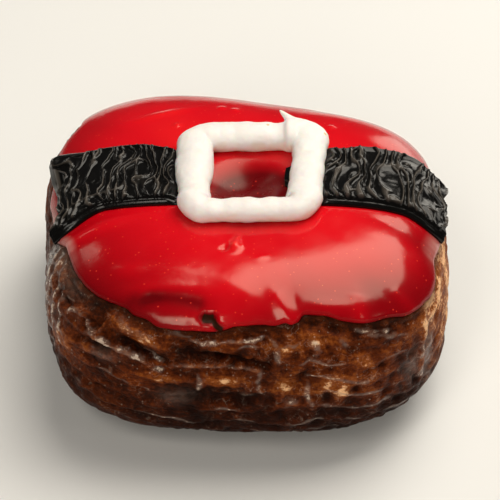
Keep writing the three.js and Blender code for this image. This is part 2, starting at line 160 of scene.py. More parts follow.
@dataclass(frozen=True)
class Form:
    """The whole doughnut out to its icing, in mm, about its own middle. The sizes are the part's own."""

    half_width: float = 45.0
    half_front: float = 45.2
    half_back: float = 42.3
    top_squareness: float = 3.3
    base_squareness: float = 3.1
    waist: float = 15.8
    crown: float = 26.5
    crown_power: float = 3.9
    belly_power: float = 2.4
    crown_tilt: float = 2.2
    flat_share: float = 0.45
    lobes: tuple[tuple[int, float, float], ...] = ((1, 0.05, 171), (2, 0.054, 135), (3, 0.031, 7))
    dimple: tuple[float, float, float, float] = (-1.3, -1.0, 10.2, 3.0)
    lip: float = 0.2
    lip_fade: float = 4.5
    lip_round: float = 0.9
    rim_angle: float = 43.5
    drips: tuple[tuple[float, float, float], ...] = (
        (355, 6.5, 22), (35, 7, 20), (60, 5.5, 10), (97, 2, 11), (133, 6, 11), (165, 6, 16), (187, 7, 14),
        (244.9, 1.9, 5.3), (257.5, 4.9, 10.2), (276.2, 3, 11.3), (286.7, 1.4, 2), (314.7, 5.8, 17.6),
        (320.8, -1.5, 4.8), (324.2, 5.1, 9.6),
    )

    def plan(self, theta: Array, high: Array) -> Array:
        """Radius of the plan at angles, from the base's at high 0 to the top's at high 1.

        Args:
            theta: angles round the form.
            high: 0 at the base's plan to 1 at the top's.

        Returns:
            A radius for each angle, mm.
        """
        front = np.where(np.sin(theta) < 0, self.half_front, self.half_back)
        across, along = np.abs(np.cos(theta)) / self.half_width, np.abs(np.sin(theta)) / front
        lobes = 1 + sum(share * np.cos(waves * (theta - math.radians(at))) for waves, share, at in self.lobes)
        low, top = (
            (across**power + along**power) ** (-1 / power)
            for power in (self.base_squareness, self.top_squareness)
        )
        return lobes * mixed(low, top, high)

    def dip(self, x: Array, y: Array) -> Array:
        """Depth of the dimple where the doughnut's hole is iced over.

        Args:
            x: places on the plan, mm.
            y: the same, towards the back.

        Returns:
            A depth for each place, mm.
        """
        at_x, at_y, radius, depth = self.dimple
        away = np.hypot(x - at_x, y - at_y) / radius
        return np.where(away < 1, depth * (1 - away**2) ** 2, 0)

    def point(self, theta: Array, profile: Array) -> Array:
        """Points of the form: a profile angle of 90 is the top's middle, 0 the waist, -90 the flat's rim.

        Args:
            theta: angles round the form.
            profile: angles up it, degrees.

        Returns:
            One row for each point, mm.
        """
        above = profile > 0
        power = np.where(above, self.crown_power, self.belly_power)
        out = np.maximum(np.cos(np.radians(profile)), 0)
        rise = np.abs(np.sin(np.radians(profile)))
        size = (out**power + rise**power) ** (1 / power)
        reach = np.where(above, out / size, self.flat_share + (1 - self.flat_share) * out / size)
        rise = np.sign(profile) * rise / size
        radius = reach * self.plan(theta, np.clip(0.5 + rise, 0, 1))
        x, y = radius * np.cos(theta), radius * np.sin(theta)
        top = rise * (self.crown + self.crown_tilt * x / self.half_width) - self.dip(x, y)
        return np.stack([x, y, self.waist + np.where(above, top, rise * self.waist)], axis=1)

    def lifted(self, theta: Array, profile: Array, lift: Array | float) -> Array:
        """Points lifted off the form along its normal, and held over the table.

        Args:
            theta: angles round the form.
            profile: angles up it, degrees.
            lift: how far off the form, mm.

        Returns:
            One row for each point, mm.
        """
        step = 0.4  # degrees to each side
        turn = math.radians(step)
        off_pole = np.minimum(profile, 89)
        around = self.point(theta + turn, off_pole) - self.point(theta - turn, off_pole)
        above = self.point(theta, np.minimum(profile + step, 89.5))
        upwards = above - self.point(theta, np.maximum(profile - step, -90))
        normal = np.cross(around, upwards)
        normal /= np.linalg.norm(normal, axis=1, keepdims=True)
        normal[profile > 89.9] = (0, 0, 1)
        placed = self.point(theta, profile) + normal * np.broadcast_to(lift, profile.shape)[:, None]
        placed[:, 2] = np.maximum(placed[:, 2], 0)
        return placed

    def arcs(self) -> tuple[Array, Array]:
        """Profile angles and their distances up the front profile from the flat's rim, mm.

        Returns:
            The angles and the distances.
        """
        angles = np.arange(-90.0, 91.0)
        line = self.point(np.full(len(angles), -math.pi / 2), angles)
        steps = np.linalg.norm(np.diff(line, axis=0), axis=1)
        return angles, np.concatenate([[0], np.cumsum(steps)])

    def arc_at(self, profile: Array) -> Array:
        """Distance up the profile at profile angles."""
        angles, arcs = self.arcs()
        return np.interp(profile, angles, arcs)

    def profile_at(self, arc: Array) -> Array:
        """Profile angles at distances up the profile."""
        angles, arcs = self.arcs()
        return np.interp(arc, arcs, angles)

    def rim(self, theta: Array) -> Array:
        """Profile angle of the icing's rim, with its drips.

        Args:
            theta: angles round the form.

        Returns:
            A profile angle for each, degrees.
        """
        angle = np.full(len(theta), self.rim_angle)
        for at, fall, width in self.drips:
            angle -= fall * np.exp(-((turn_from(np.degrees(theta), at) / width) ** 4))
        return angle

    def lip_lift(self, theta: Array, profile: Array) -> Array:
        """How far the icing's rim stands proud of the form."""
        to_rim = self.arc_at(profile) - self.arc_at(self.rim(theta))
        return self.lip * (1 - ease(to_rim / self.lip_fade))

    def over_top(self, x: Array, y: Array, lift: Array | float) -> Array:
        """Points over the icing at places on the plan, lifted along its normal.

        Args:
            x: places on the plan, mm.
            y: the same, towards the back.
            lift: how far off the icing, mm.

        Returns:
            One row for each point, mm.
        """
        def reach(px: Array, py: Array) -> Array:
            """Share of the way out to the plan's edge."""
            return np.minimum(np.hypot(px, py) / self.plan(np.arctan2(py, px), 1.0), 0.999)

        def rise(share: Array) -> Array:
            """Share of the crown's height there."""
            return (1 - share**self.crown_power) ** (1 / self.crown_power)

        def height(px: Array, py: Array) -> Array:
            """Height of the icing's skin."""
            crown = self.crown + self.crown_tilt * px / self.half_width
            return self.waist + rise(reach(px, py)) * crown - self.dip(px, py)

        step = 0.2
        slope_x = (height(x + step, y) - height(x - step, y)) / (2 * step)
        slope_y = (height(x, y + step) - height(x, y - step)) / (2 * step)
        normal = np.stack([-slope_x, -slope_y, np.ones_like(x)], axis=1)
        normal /= np.linalg.norm(normal, axis=1, keepdims=True)
        share = reach(x, y)
        lip = self.lip_lift(np.arctan2(y, x), np.degrees(np.arctan2(rise(share), share)))
        return np.stack([x, y, height(x, y)], axis=1) + normal * (lift + lip)[:, None]


FORM = Form()
CROWN = replace(FORM, dimple=(0.3, -1.5, 10.5, 0.0))  # as if the dimple were filled in


class Graph:
    """Adds nodes and links to one node tree."""

    def __init__(self, tree: NodeTree) -> None:
        """Keeps the tree that nodes are added to."""
        self.tree = tree

    def feed(self, socket: Socket, value: object) -> None:
        """Links a socket to another, or sets its number or colour.

        Args:
            socket: the socket.
            value: another socket, a number or a colour.
        """
        if isinstance(value, Socket):
            self.tree.links.new(value, socket)
        else:
            socket.default_value = value

    def feed_all(self, node: Node, inputs: dict) -> None:
        """Feeds a node's sockets, each by its name or number."""
        for key, value in inputs.items():
            self.feed(node.inputs[key], value)

    def add(self, kind: str, inputs: dict | None = None, **settings: object) -> Node:
        """Adds a node.

        Args:
            kind: the node's type.
            inputs: its sockets by name or number, each with a number, a colour or a socket that feeds it.
            settings: its other properties.

        Returns:
            The node.
        """
        node = self.tree.nodes.new(kind)
        for name, value in settings.items():
            setattr(node, name, value)
        self.feed_all(node, inputs or {})
        return node

    def math(self, operation: str, first: object, second: object = 0.0, third: object = 0.0) -> Socket:
        """The result of a sum on numbers or sockets."""
        return self.add("ShaderNodeMath", {0: first, 1: second, 2: third}, operation=operation).outputs[0]

    def mix(self, share: object, first: object, second: object) -> Socket:
        """A colour a share of the way from the first to the second."""
        return self.add("ShaderNodeMix", {0: share, 6: first, 7: second}, data_type="RGBA").outputs[2]

    def span(self, value: object, low: float, high: float, start: float = 0.0, end: float = 1.0) -> Socket:
        """Maps low to high onto start to end, smoothly, and holds it there."""
        sockets = {0: value, 1: low, 2: high, 3: start, 4: end}
        return self.add("ShaderNodeMapRange", sockets, interpolation_type="SMOOTHSTEP").outputs[0]

    def noise(
        self, place: object, scale: object, detail: float, roughness: object = 0.5, distortion: float = 0.0,
    ) -> Socket:
        """Smooth noise from 0 to 1."""
        sockets = {"Scale": scale, "Detail": detail, "Roughness": roughness, "Distortion": distortion}
        return self.add("ShaderNodeTexNoise", {"Vector": place, **sockets}).outputs[0]

    def ramp(self, value: object, stops: tuple[tuple[float, Colour], ...]) -> Socket:
        """A colour that runs through the stops.

        Args:
            value: what is looked up.
            stops: places from 0 to 1, each with its colour.

        Returns:
            The colour.
        """
        node = self.add("ShaderNodeValToRGB", {0: value})
        elements = node.color_ramp.elements
        while len(elements) < len(stops):
            elements.new(1.0)
        for element, (place, colour) in zip(elements, stops):
            element.position, element.color = place, colour
        return node.outputs[0]

    def mark(self, name: str) -> Socket:
        """The piece's own attribute of that name, as a number."""
        return self.add("ShaderNodeAttribute", attribute_name=name, attribute_type="GEOMETRY").outputs["Fac"]

    def place(self) -> Socket:
        """The piece's own Object coordinates."""
        return self.add("ShaderNodeTexCoord").outputs["Object"]


class Effects:
    """Effects that more than one finish uses, each a node group that is built once."""

    def __init__(self) -> None:
        """Builds the groups."""
        self.grain = self._grain()
        self.specks = self._specks()
        self.layers = self._layers()

    @staticmethod
    def _group(name: str, inputs: dict[str, float], outputs: dict[str, str]) -> tuple[Graph, Node, Node]:
        """Starts a node group.

        Args:
            name: what it is called.
            inputs: its number inputs, with their first values.
            outputs: its outputs, with their socket types.

        Returns:
            A graph to fill it with, the node that gives its inputs and the node that takes its outputs.
        """
        tree = bpy.data.node_groups.new(name, "ShaderNodeTree")
        for label, value in inputs.items():
            socket = tree.interface.new_socket(label, in_out="INPUT", socket_type="NodeSocketFloat")
            socket.default_value = value
        for label, kind in outputs.items():
            tree.interface.new_socket(label, in_out="OUTPUT", socket_type=kind)
        graph = Graph(tree)
        return graph, graph.add("NodeGroupInput"), graph.add("NodeGroupOutput")

    def _relief(
        self, name: str, inputs: dict[str, float],
        fill: Callable[[Graph, Node], tuple[Socket, Socket]],
    ) -> NodeTree:
        """Builds a group that puts out a value and the normal of a relief.

        Args:
            name: what it is called.
            inputs: its number inputs, with the relief's Depth among them.
            fill: adds the pattern, and gives its value and its height.

        Returns:
            The group.
        """
        outputs = {"Value": "NodeSocketFloat", "Normal": "NodeSocketVector"}
        graph, given, made = self._group(name, inputs, outputs)
        value, height = fill(graph, given)
        bump = graph.add("ShaderNodeBump", {"Height": height, "Distance": given.outputs["Depth"]})
        graph.feed_all(made, {"Value": value, "Normal": bump.outputs[0]})
        return graph.tree

    def _grain(self) -> NodeTree:
        """Fine unevenness: a value for colour and gloss, and a normal.

        Returns:
            The group.
        """
        def fill(graph: Graph, given: Node) -> tuple[Socket, Socket]:
            """Adds the noise, which is both value and height."""
            noise = graph.noise(graph.place(), given.outputs["Scale"], 4.0, given.outputs["Roughness"])
            return noise, noise

        return self._relief("surface_grain", {"Scale": 900.0, "Roughness": 0.6, "Depth": 0.0001}, fill)

    def _layers(self) -> NodeTree:
        """Thin sheets that lie flat, broken up by a finer grain: a value, and a normal.

        Returns:
            The group.
        """
        def fill(graph: Graph, given: Node) -> tuple[Socket, Socket]:
            """Adds the sheets as value, and sheets and crumb as height."""
            place, scale = graph.place(), given.outputs["Scale"]
            axes = {0: 1.0, 1: 1.0, 2: given.outputs["Flatness"]}
            stretch = graph.add("ShaderNodeCombineXYZ", axes).outputs[0]
            flat = graph.add("ShaderNodeVectorMath", {0: place, 1: stretch}, operation="MULTIPLY").outputs[0]
            sheets = graph.noise(flat, scale, 5.0, 0.64, 1.1)
            crumb = graph.noise(place, graph.math("MULTIPLY", scale, 4.0), 3.0, 0.6)
            return sheets, graph.math("MULTIPLY_ADD", crumb, 0.4, sheets)

        return self._relief("thin_layers", {"Scale": 400.0, "Flatness": 4.0, "Depth": 0.0002}, fill)

    def _specks(self) -> NodeTree:
        """Small round spots, some of them left out, as a mask.

        Returns:
            The group.
        """
        inputs = {"Scale": 300.0, "Size": 0.2, "Share": 0.3}
        graph, given, made = self._group("small_specks", inputs, {"Mask": "NodeSocketFloat"})
        cells = graph.add("ShaderNodeTexVoronoi", {"Vector": graph.place(), "Scale": given.outputs["Scale"]})
        round_spot = graph.math("LESS_THAN", cells.outputs["Distance"], given.outputs["Size"])
        lot = graph.add("ShaderNodeSeparateColor", {0: cells.outputs["Color"]}).outputs[0]
        chosen = graph.math("LESS_THAN", lot, given.outputs["Share"])
        graph.feed(made.inputs["Mask"], graph.math("MULTIPLY", round_spot, chosen))
        return graph.tree

    @staticmethod
    def placed(graph: Graph, group: NodeTree, **values: float) -> Node:
        """Places a group in a finish.

        Args:
            graph: the finish's graph.
            group: the group.
            values: the finish's own values for the group's inputs; a depth is in metres.

        Returns:
            The group's node.
        """
        node = graph.add("ShaderNodeGroup", node_tree=group)
        graph.feed_all(node, values)
        return node

    def speckled(self, graph: Graph, scale: float, size: float, share: float) -> Socket:
        """Places the specks in a finish and gives their mask."""
        return self.placed(graph, self.specks, Scale=scale, Size=size, Share=share).outputs["Mask"]


@dataclass(frozen=True)
class Finish:
    """What every finish has: a name, its roughness, and numbers set on the shader's own sockets."""

    name: str
    constants: dict[str, float] = field(default_factory=dict)
    gloss: tuple[float, float] = (0.4, 0.6)  # roughness from the glossiest to the dullest place
    grain: tuple[float, float, float] = (900.0, 0.0001, 0.6)  # scale, depth in metres and roughness

    def sockets(self, graph: Graph, effects: Effects) -> dict[str, object]:
        """What feeds the shader's sockets."""
        return self.grained(graph, effects)

    def grained(self, graph: Graph, effects: Effects) -> dict[str, Socket]:
        """The roughness and the normal that the finish's grain gives.

        Args:
            graph: the material's graph.
            effects: the shared node groups.

        Returns:
            Both, by the names of the shader's sockets.
        """
        scale, depth, roughness = self.grain
        node = effects.placed(graph, effects.grain, Scale=scale, Depth=depth, Roughness=roughness)
        gloss = graph.span(node.outputs["Value"], 0.3, 0.7, *self.gloss)
        return {"Roughness": gloss, "Normal": node.outputs["Normal"]}

    def build(self, effects: Effects) -> Material:
        """Makes the material.

        Args:
            effects: the shared node groups.

        Returns:
            The material.
        """
        material = bpy.data.materials.new(self.name)
        material.use_nodes = True
        graph = Graph(material.node_tree)
        shader = material.node_tree.nodes["Principled BSDF"]
        graph.feed_all(shader, self.constants)
        graph.feed_all(shader, self.sockets(graph, effects))
        return material


@dataclass(frozen=True)
class RedIcing(Finish):
    """Poured icing: deep glossy red, painted darker as shade in its dimple, grooves and low sides and painted
    lighter on top, with fine orange specks.
    """

    name: str = "red_icing"
    constants: dict[str, float] = field(default_factory=lambda: {
        "Subsurface Weight": 0.06, "Subsurface Scale": 0.001,
    })
    gloss: tuple[float, float] = (0.12, 0.18)
    grain: tuple[float, float, float] = (260.0, 0.00006, 0.45)
    # The reds run from painted shade, through the plain red, to painted light
    deepest_shade: Colour = srgb(100, 1, 7)
    shaded_red: Colour = srgb(172, 3, 16)
    plain: Colour = srgb(214, 10, 25)
    lit_red: Colour = srgb(239, 34, 33)
    glint: Colour = srgb(232, 62, 44)
    speck: Colour = srgb(240, 120, 66)
    # The crust seen through the burst bubble, painted darker as shade in the hole
    bare_in_shade: Colour = srgb(46, 22, 10)
    # Paler where the icing ran thin: see-through icing with a painted reflection on it
    clear: Colour = srgb(206, 160, 152)
    warm: Colour = (1.0, 0.93, 0.8, 1.0)
    dust: tuple[float, float, float] = (1500.0, 0.28, 0.07)  # scale, size and share
    specks: tuple[float, float, float] = (620.0, 0.045, 0.028)
    dust_share: float = 0.55
    clear_sheen_share: float = 0.68
    shine: float = 0.42
    shine_lost: float = 0.36  # where the icing is dull
    gloss_lost: float = 0.3

    def sockets(self, graph: Graph, effects: Effects) -> dict[str, object]:
        """What feeds the shader's sockets.

        Args:
            graph: the material's graph.
            effects: the shared node groups.

        Returns:
            A socket or a value for each, by name.
        """
        surface = self.grained(graph, effects)
        # Painted shade and painted light: the mark runs the red from its darkest to its lightest
        stops = ((0.0, self.deepest_shade), (0.25, self.shaded_red), (0.6, self.plain), (1.0, self.lit_red))
        body = graph.ramp(graph.mark("painted_shading"), stops)
        dust = effects.speckled(graph, *self.dust)
        body = graph.mix(graph.math("MULTIPLY", dust, self.dust_share), body, self.glint)
        body = graph.mix(effects.speckled(graph, *self.specks), body, self.speck)
        # The thin edges painted paler: see-through icing and a painted reflection
        clear = graph.math("MULTIPLY", graph.mark("clear"), self.clear_sheen_share)
        body = graph.mix(clear, body, self.clear)
        bare_in_shade = graph.span(graph.mark("bare_in_shade"), 0.4, 0.55)
        dull = graph.math("MAXIMUM", bare_in_shade, graph.mark("dull"))
        return {
            "Base Color": graph.mix(bare_in_shade, body, self.bare_in_shade),
            "Specular IOR Level": graph.math("MULTIPLY_ADD", dull, -self.shine_lost, self.shine),
            "Specular Tint": self.warm,
            "Roughness": graph.math("MULTIPLY_ADD", dull, self.gloss_lost, surface["Roughness"]),
            "Normal": surface["Normal"],
        }


@dataclass(frozen=True)
class BlackPiping(Finish):
    """Piped black icing, with a soft gloss on its ribs and a painted grey highlight on their crests."""

    name: str = "black_piping"
    constants: dict[str, float] = field(default_factory=lambda: {"Specular IOR Level": 0.3})
    gloss: tuple[float, float] = (0.13, 0.22)
    grain: tuple[float, float, float] = (1800.0, 0.000018, 0.6)
    body: Colour = srgb(10, 9, 8)
    crest_highlight: Colour = srgb(78, 72, 66)

    def sockets(self, graph: Graph, effects: Effects) -> dict[str, object]:
        """What feeds the shader's sockets.

        Args:
            graph: the material's graph.
            effects: the shared node groups.

        Returns:
            A socket or a value for each, by name.
        """
        # Grey on the crests: a painted highlight
        crest = graph.span(graph.mark("crest"), 0.3, 1.0)
        return {"Base Color": graph.mix(crest, self.body, self.crest_highlight), **self.grained(graph, effects)}


@dataclass(frozen=True)
class WhitePiping(Finish):
    """Piped off-white icing: soft and slightly greasy, with tan pits, and painted warm shade low down and in
    its dents.
    """

    name: str = "white_piping"
    constants: dict[str, float] = field(default_factory=lambda: {
        "Subsurface Weight": 0.25, "Subsurface Scale": 0.002, "Specular IOR Level": 0.4,
    })
    gloss: tuple[float, float] = (0.42, 0.56)
    grain: tuple[float, float, float] = (700.0, 0.00008, 0.6)
    body: Colour = srgb(239, 235, 233)
    warm_shade: Colour = srgb(232, 218, 200)
    pit: Colour = srgb(222, 194, 150)
    pits: tuple[float, float, float] = (230.0, 0.1, 0.22)  # scale, size and share

    def sockets(self, graph: Graph, effects: Effects) -> dict[str, object]:
        """What feeds the shader's sockets.

        Args:
            graph: the material's graph.
            effects: the shared node groups.

        Returns:
            A socket or a value for each, by name.
        """
        # Painted warm shade low down and in the dents
        warm = graph.mix(graph.mark("warm_shade"), self.body, self.warm_shade)
        body = graph.mix(effects.speckled(graph, *self.pits), warm, self.pit)
        return {"Base Color": body, **self.grained(graph, effects)}


@dataclass(frozen=True)
class Crust(Finish):
    """Fried crust: painted shade in its grooves and towards the base, amber and painted light where a layer
    stands out, with broken, pale sugar glaze and painted glints.
    """

    name: str = "crust"
    constants: dict[str, float] = field(default_factory=lambda: {
        "Coat Roughness": 0.16, "Specular IOR Level": 0.07,
    })
    gloss: tuple[float, float] = (0.42, 0.6)
    # The darkest crust: char, and also painted shade
    char: Colour = srgb(27, 9, 4)
    groove_shade: Colour = srgb(54, 18, 2)
    brown: Colour = srgb(94, 38, 7)
    amber: Colour = srgb(144, 74, 24)
    pale: Colour = srgb(252, 196, 144)
    film_and_sheen: Colour = srgb(118, 98, 86)
    # Whitish sugar, and painted glints
    sugar_and_glint: Colour = srgb(226, 202, 180)
    shares: tuple[float, ...] = (0.75, 0.6, 0.7, 0.42)  # how far mottle, leaves, crispness, and baking with painted light count
    film_share: float = 0.58
    sugar_and_glint_share: float = 0.6
    thread: float = 0.024
    glint_flecks: tuple[float, float, float] = (1100.0, 0.22, 0.14)  # scale, size and share
    layers: tuple[float, float, float] = (360.0, 2.8, 0.00034)  # scale, flatness and depth in metres
    mottle: tuple[float, float, float] = (260.0, 6.0, 0.7)  # scale, detail and roughness
    crumb: tuple[float, float, float] = (1300.0, 3.0, 0.6)
    veins: tuple[float, float] = (420.0, 3.0)
    film_gaps: tuple[float, ...] = (0.3, 0.6, 0.35, 1.0)  # low and high leaves, and the film's share on each
    whitening: tuple[float, float] = (0.6, 0.95)
    wetness: float = 0.85

    def sockets(self, graph: Graph, effects: Effects) -> dict[str, object]:
        """What feeds the shader's sockets.

        Args:
            graph: the material's graph.
            effects: the shared node groups.

        Returns:
            A socket or a value for each, by name.
        """
        scale, flatness, depth = self.layers
        sheets = effects.placed(graph, effects.layers, Scale=scale, Flatness=flatness, Depth=depth)
        place, leaf = graph.place(), sheets.outputs["Value"]
        mottle, fine = graph.noise(place, *self.mottle), graph.noise(place, *self.crumb)
        uneven, leaves, crisp = (graph.math("SUBTRACT", value, 0.5) for value in (mottle, leaf, fine))
        level = graph.mark("relief")
        for part, share in zip((uneven, leaves, crisp, graph.mark("bake")), self.shares):
            level = graph.math("MULTIPLY_ADD", part, share, level)
        # Painted shade in the grooves, painted light where a layer stands out
        stops = (
            (0.0, self.char), (0.26, self.groove_shade), (0.52, self.brown), (0.8, self.amber), (1.0, self.pale),
        )
        # Char, and painted shade towards the base, under the icing and in hollows
        body = graph.mix(graph.mark("char"), graph.ramp(level, stops), self.char)
        # A grey, see-through film of glaze with painted sheen, then its crisp white edges, thin threads and
        # grains: sugar with painted glints
        glaze = graph.mark("glaze")
        film_and_sheen = graph.math("MAXIMUM", graph.mark("film_and_sheen"), graph.span(glaze, 0.04, 0.5, 0.0, 0.9))
        film_and_sheen = graph.math("MULTIPLY", film_and_sheen, graph.span(leaf, *self.film_gaps))
        body = graph.mix(graph.math("MULTIPLY", film_and_sheen, self.film_share), body, self.film_and_sheen)
        broken = graph.math("MULTIPLY_ADD", crisp, 2.2, graph.math("MULTIPLY_ADD", uneven, 0.7, glaze))
        from_vein = graph.math("SUBTRACT", graph.noise(place, *self.veins, distortion=1.2), 0.5)
        line = graph.span(graph.math("ABSOLUTE", from_vein), 0.0, self.thread, 1.0, 0.0)
        thread = graph.math("MULTIPLY", line, graph.span(mottle, 0.46, 0.6))
        # Tiny pale flecks: painted glints
        glint_flecks = graph.math("MULTIPLY", effects.speckled(graph, *self.glint_flecks), 0.6)
        loose = graph.math("MAXIMUM", graph.math("MULTIPLY", thread, 0.5), glint_flecks)
        loose = graph.math("MULTIPLY", loose, graph.mark("relief"))
        white = graph.math("MAXIMUM", graph.span(broken, *self.whitening), loose)
        return {
            "Base Color": graph.mix(graph.math("MULTIPLY", white, self.sugar_and_glint_share), body, self.sugar_and_glint),
            "Roughness": graph.span(mottle, 0.35, 0.65, *self.gloss),
            "Coat Weight": graph.math("MAXIMUM", graph.math("MULTIPLY", film_and_sheen, self.wetness), white),
            "Normal": sheets.outputs["Normal"],
        }


def object_of(name: str, shape: bmesh.types.BMesh) -> Piece:
    """Turns a bmesh into a shown object and frees it.

    Args:
        name: the piece's name.
        shape: its bmesh.

    Returns:
        The piece.
    """
    mesh = bpy.data.meshes.new(name)
    shape.to_mesh(mesh)
    shape.free()
    mesh.shade_smooth()
    piece = bpy.data.objects.new(name, mesh)
    bpy.context.scene.collection.objects.link(piece)
    return piece


def read_points(piece: Piece) -> Array:
    """The piece's vertices, one row each.

    Args:
        piece: the piece.

    Returns:
        The places, metres.
    """
    flat = np.zeros(len(piece.data.vertices) * 3)
    piece.data.vertices.foreach_get("co", flat)
    return flat.reshape(-1, 3)


def rework(piece: Piece, work: Callable[[bmesh.types.BMesh], object]) -> None:
    """Puts a piece's mesh through a bmesh operator.

    Args:
        piece: the piece.
        work: what is done to its bmesh.
    """
    shape = bmesh.new()
    shape.from_mesh(piece.data)
    work(shape)
    shape.to_mesh(piece.data)
    shape.free()


def write_points(piece: Piece, points_mm: Array) -> None:
    """Moves a piece's vertices to their places and turns its faces out.

    Args:
        piece: the piece.
        points_mm: one row for each vertex, in mm about the form's middle.
    """
    piece.data.vertices.foreach_set("co", ((points_mm + SHIFT) * MM).astype(np.float32).ravel())
    rework(piece, lambda shape: bmesh.ops.recalc_face_normals(shape, faces=shape.faces[:]))
    piece.data.update()


def write_mark(piece: Piece, name: str, values: Array) -> None:
    """Keeps a number for each vertex, for the finish to read."""
    mark = piece.data.attributes.new(name, "FLOAT", "POINT")
    mark.data.foreach_set("value", np.clip(values, 0, 1).astype(np.float32))


def rolled(name: str, around: int, rings: int, roll: Placing) -> tuple[Piece, Array]:
    """Rolls a flat grid up into a closed shell and joins it where its edges meet.

    Args:
        name: the piece's name.
        around: faces across the grid.
        rings: faces up the grid.
        roll: gives the place of each point of the grid, whose sides run from -1 to 1.

    Returns:
        The piece and its points.
    """
    shape = bmesh.new()
    bmesh.ops.create_grid(shape, x_segments=around, y_segments=rings, size=1)
    piece = object_of(name, shape)
    flat = read_points(piece)
    piece.data.vertices.foreach_set("co", roll(flat[:, 0], flat[:, 1]).astype(np.float32).ravel())
    rework(piece, lambda shape: bmesh.ops.remove_doubles(shape, verts=shape.verts[:], dist=2e-6))
    return piece, read_points(piece)


def ball(name: str, around: int, rings: int, crowd: float = 0.0) -> tuple[Piece, Array, Array]:
    """A closed shell with two poles, to be moved into shape.

    Args:
        name: the piece's name.
        around: points in each ring.
        rings: rings from pole to pole.
        crowd: how much closer the points stand at the front than at the back, from 0 to 1.

    Returns:
        The piece, and for each vertex its angle round the axis and its share of the way down from the
        top pole.
    """
    def roll(u: Array, v: Array) -> Array:
        """Places on a ball of radius 1."""
        turn, fall = np.pi * u, np.pi * (1 - v) / 2
        return np.stack([np.sin(fall) * np.cos(turn), np.sin(fall) * np.sin(turn), np.cos(fall)], axis=1)

    piece, points = rolled(name, around, rings, roll)
    from_front = np.arctan2(points[:, 0], -points[:, 1])
    turn = (from_front - crowd * np.sin(from_front) + math.pi / 2) % (2 * math.pi) - math.pi
    return piece, turn, np.arccos(np.clip(points[:, 2], -1, 1)) / math.pi


def dress(piece: Piece, material: Material, slot: str, *nodes: str) -> None:
    """Gives a piece its finish and ties it to the frame.

    Args:
        piece: the finished piece.
        material: its material.
        slot: not used.
        nodes: the solids that it stands for.
    """
    piece.data.materials.append(material)
    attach(piece, "root")
    if nodes:
        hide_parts(*nodes)
    log.info("%s: %d triangles", piece.name, sum(len(face.vertices) - 2 for face in piece.data.polygons))


@dataclass(frozen=True)
class Crease:
    """A ridge or groove round the side, between two places that each are an angle and a height."""

    start: tuple[float, float]
    end: tuple[float, float]
    width: float
    rise: float
    glaze: float = 0.0
    bow: float = 0.0

    def near(self, degrees: Array, arc: Array, wobble: Array | float) -> Array:
        """How near each place is to the crease: 1 on its line, 0 away from it.

        Args:
            degrees: angles round the side, degrees.
            arc: heights up the profile, mm.
            wobble: how far the line strays at each place, mm.

        Returns:
            A value for each place.
        """
        run = turn_from(np.array(self.end[0]), self.start[0]) * DEGREE
        climb = self.end[1] - self.start[1]
        length = math.hypot(run, climb)
        across = turn_from(degrees, self.start[0]) * DEGREE
        up = arc - self.start[1]
        go = (across * run + up * climb) / length
        off = (up * run - across * climb) / length
        share = np.clip(go / length, 0, 1)
        off = off - self.bow * 4 * share * (1 - share) + wobble
        past = np.maximum(np.maximum(-go, go - length), 0)
        tapered = 0.35 + 0.65 * ease(6 * share) * ease(6 * (1 - share))
        return hump(np.hypot(off, past) / self.width) * tapered


@dataclass(frozen=True)
class Patch:
    """A round area of the side that stands out or sinks in, or is glazed, browned or charred; its char also
    paints shade in hollows, its browning paints light on the right wall, and its glaze and film paint sheen on
    the left wall.
    """

    at: float
    arc: float
    wide: float
    high: float
    rise: float = 0.0
    glaze: float = 0.0
    film_and_sheen: float = 0.0
    bake: float = 0.0
    char: float = 0.0
    calm: float = 0.0


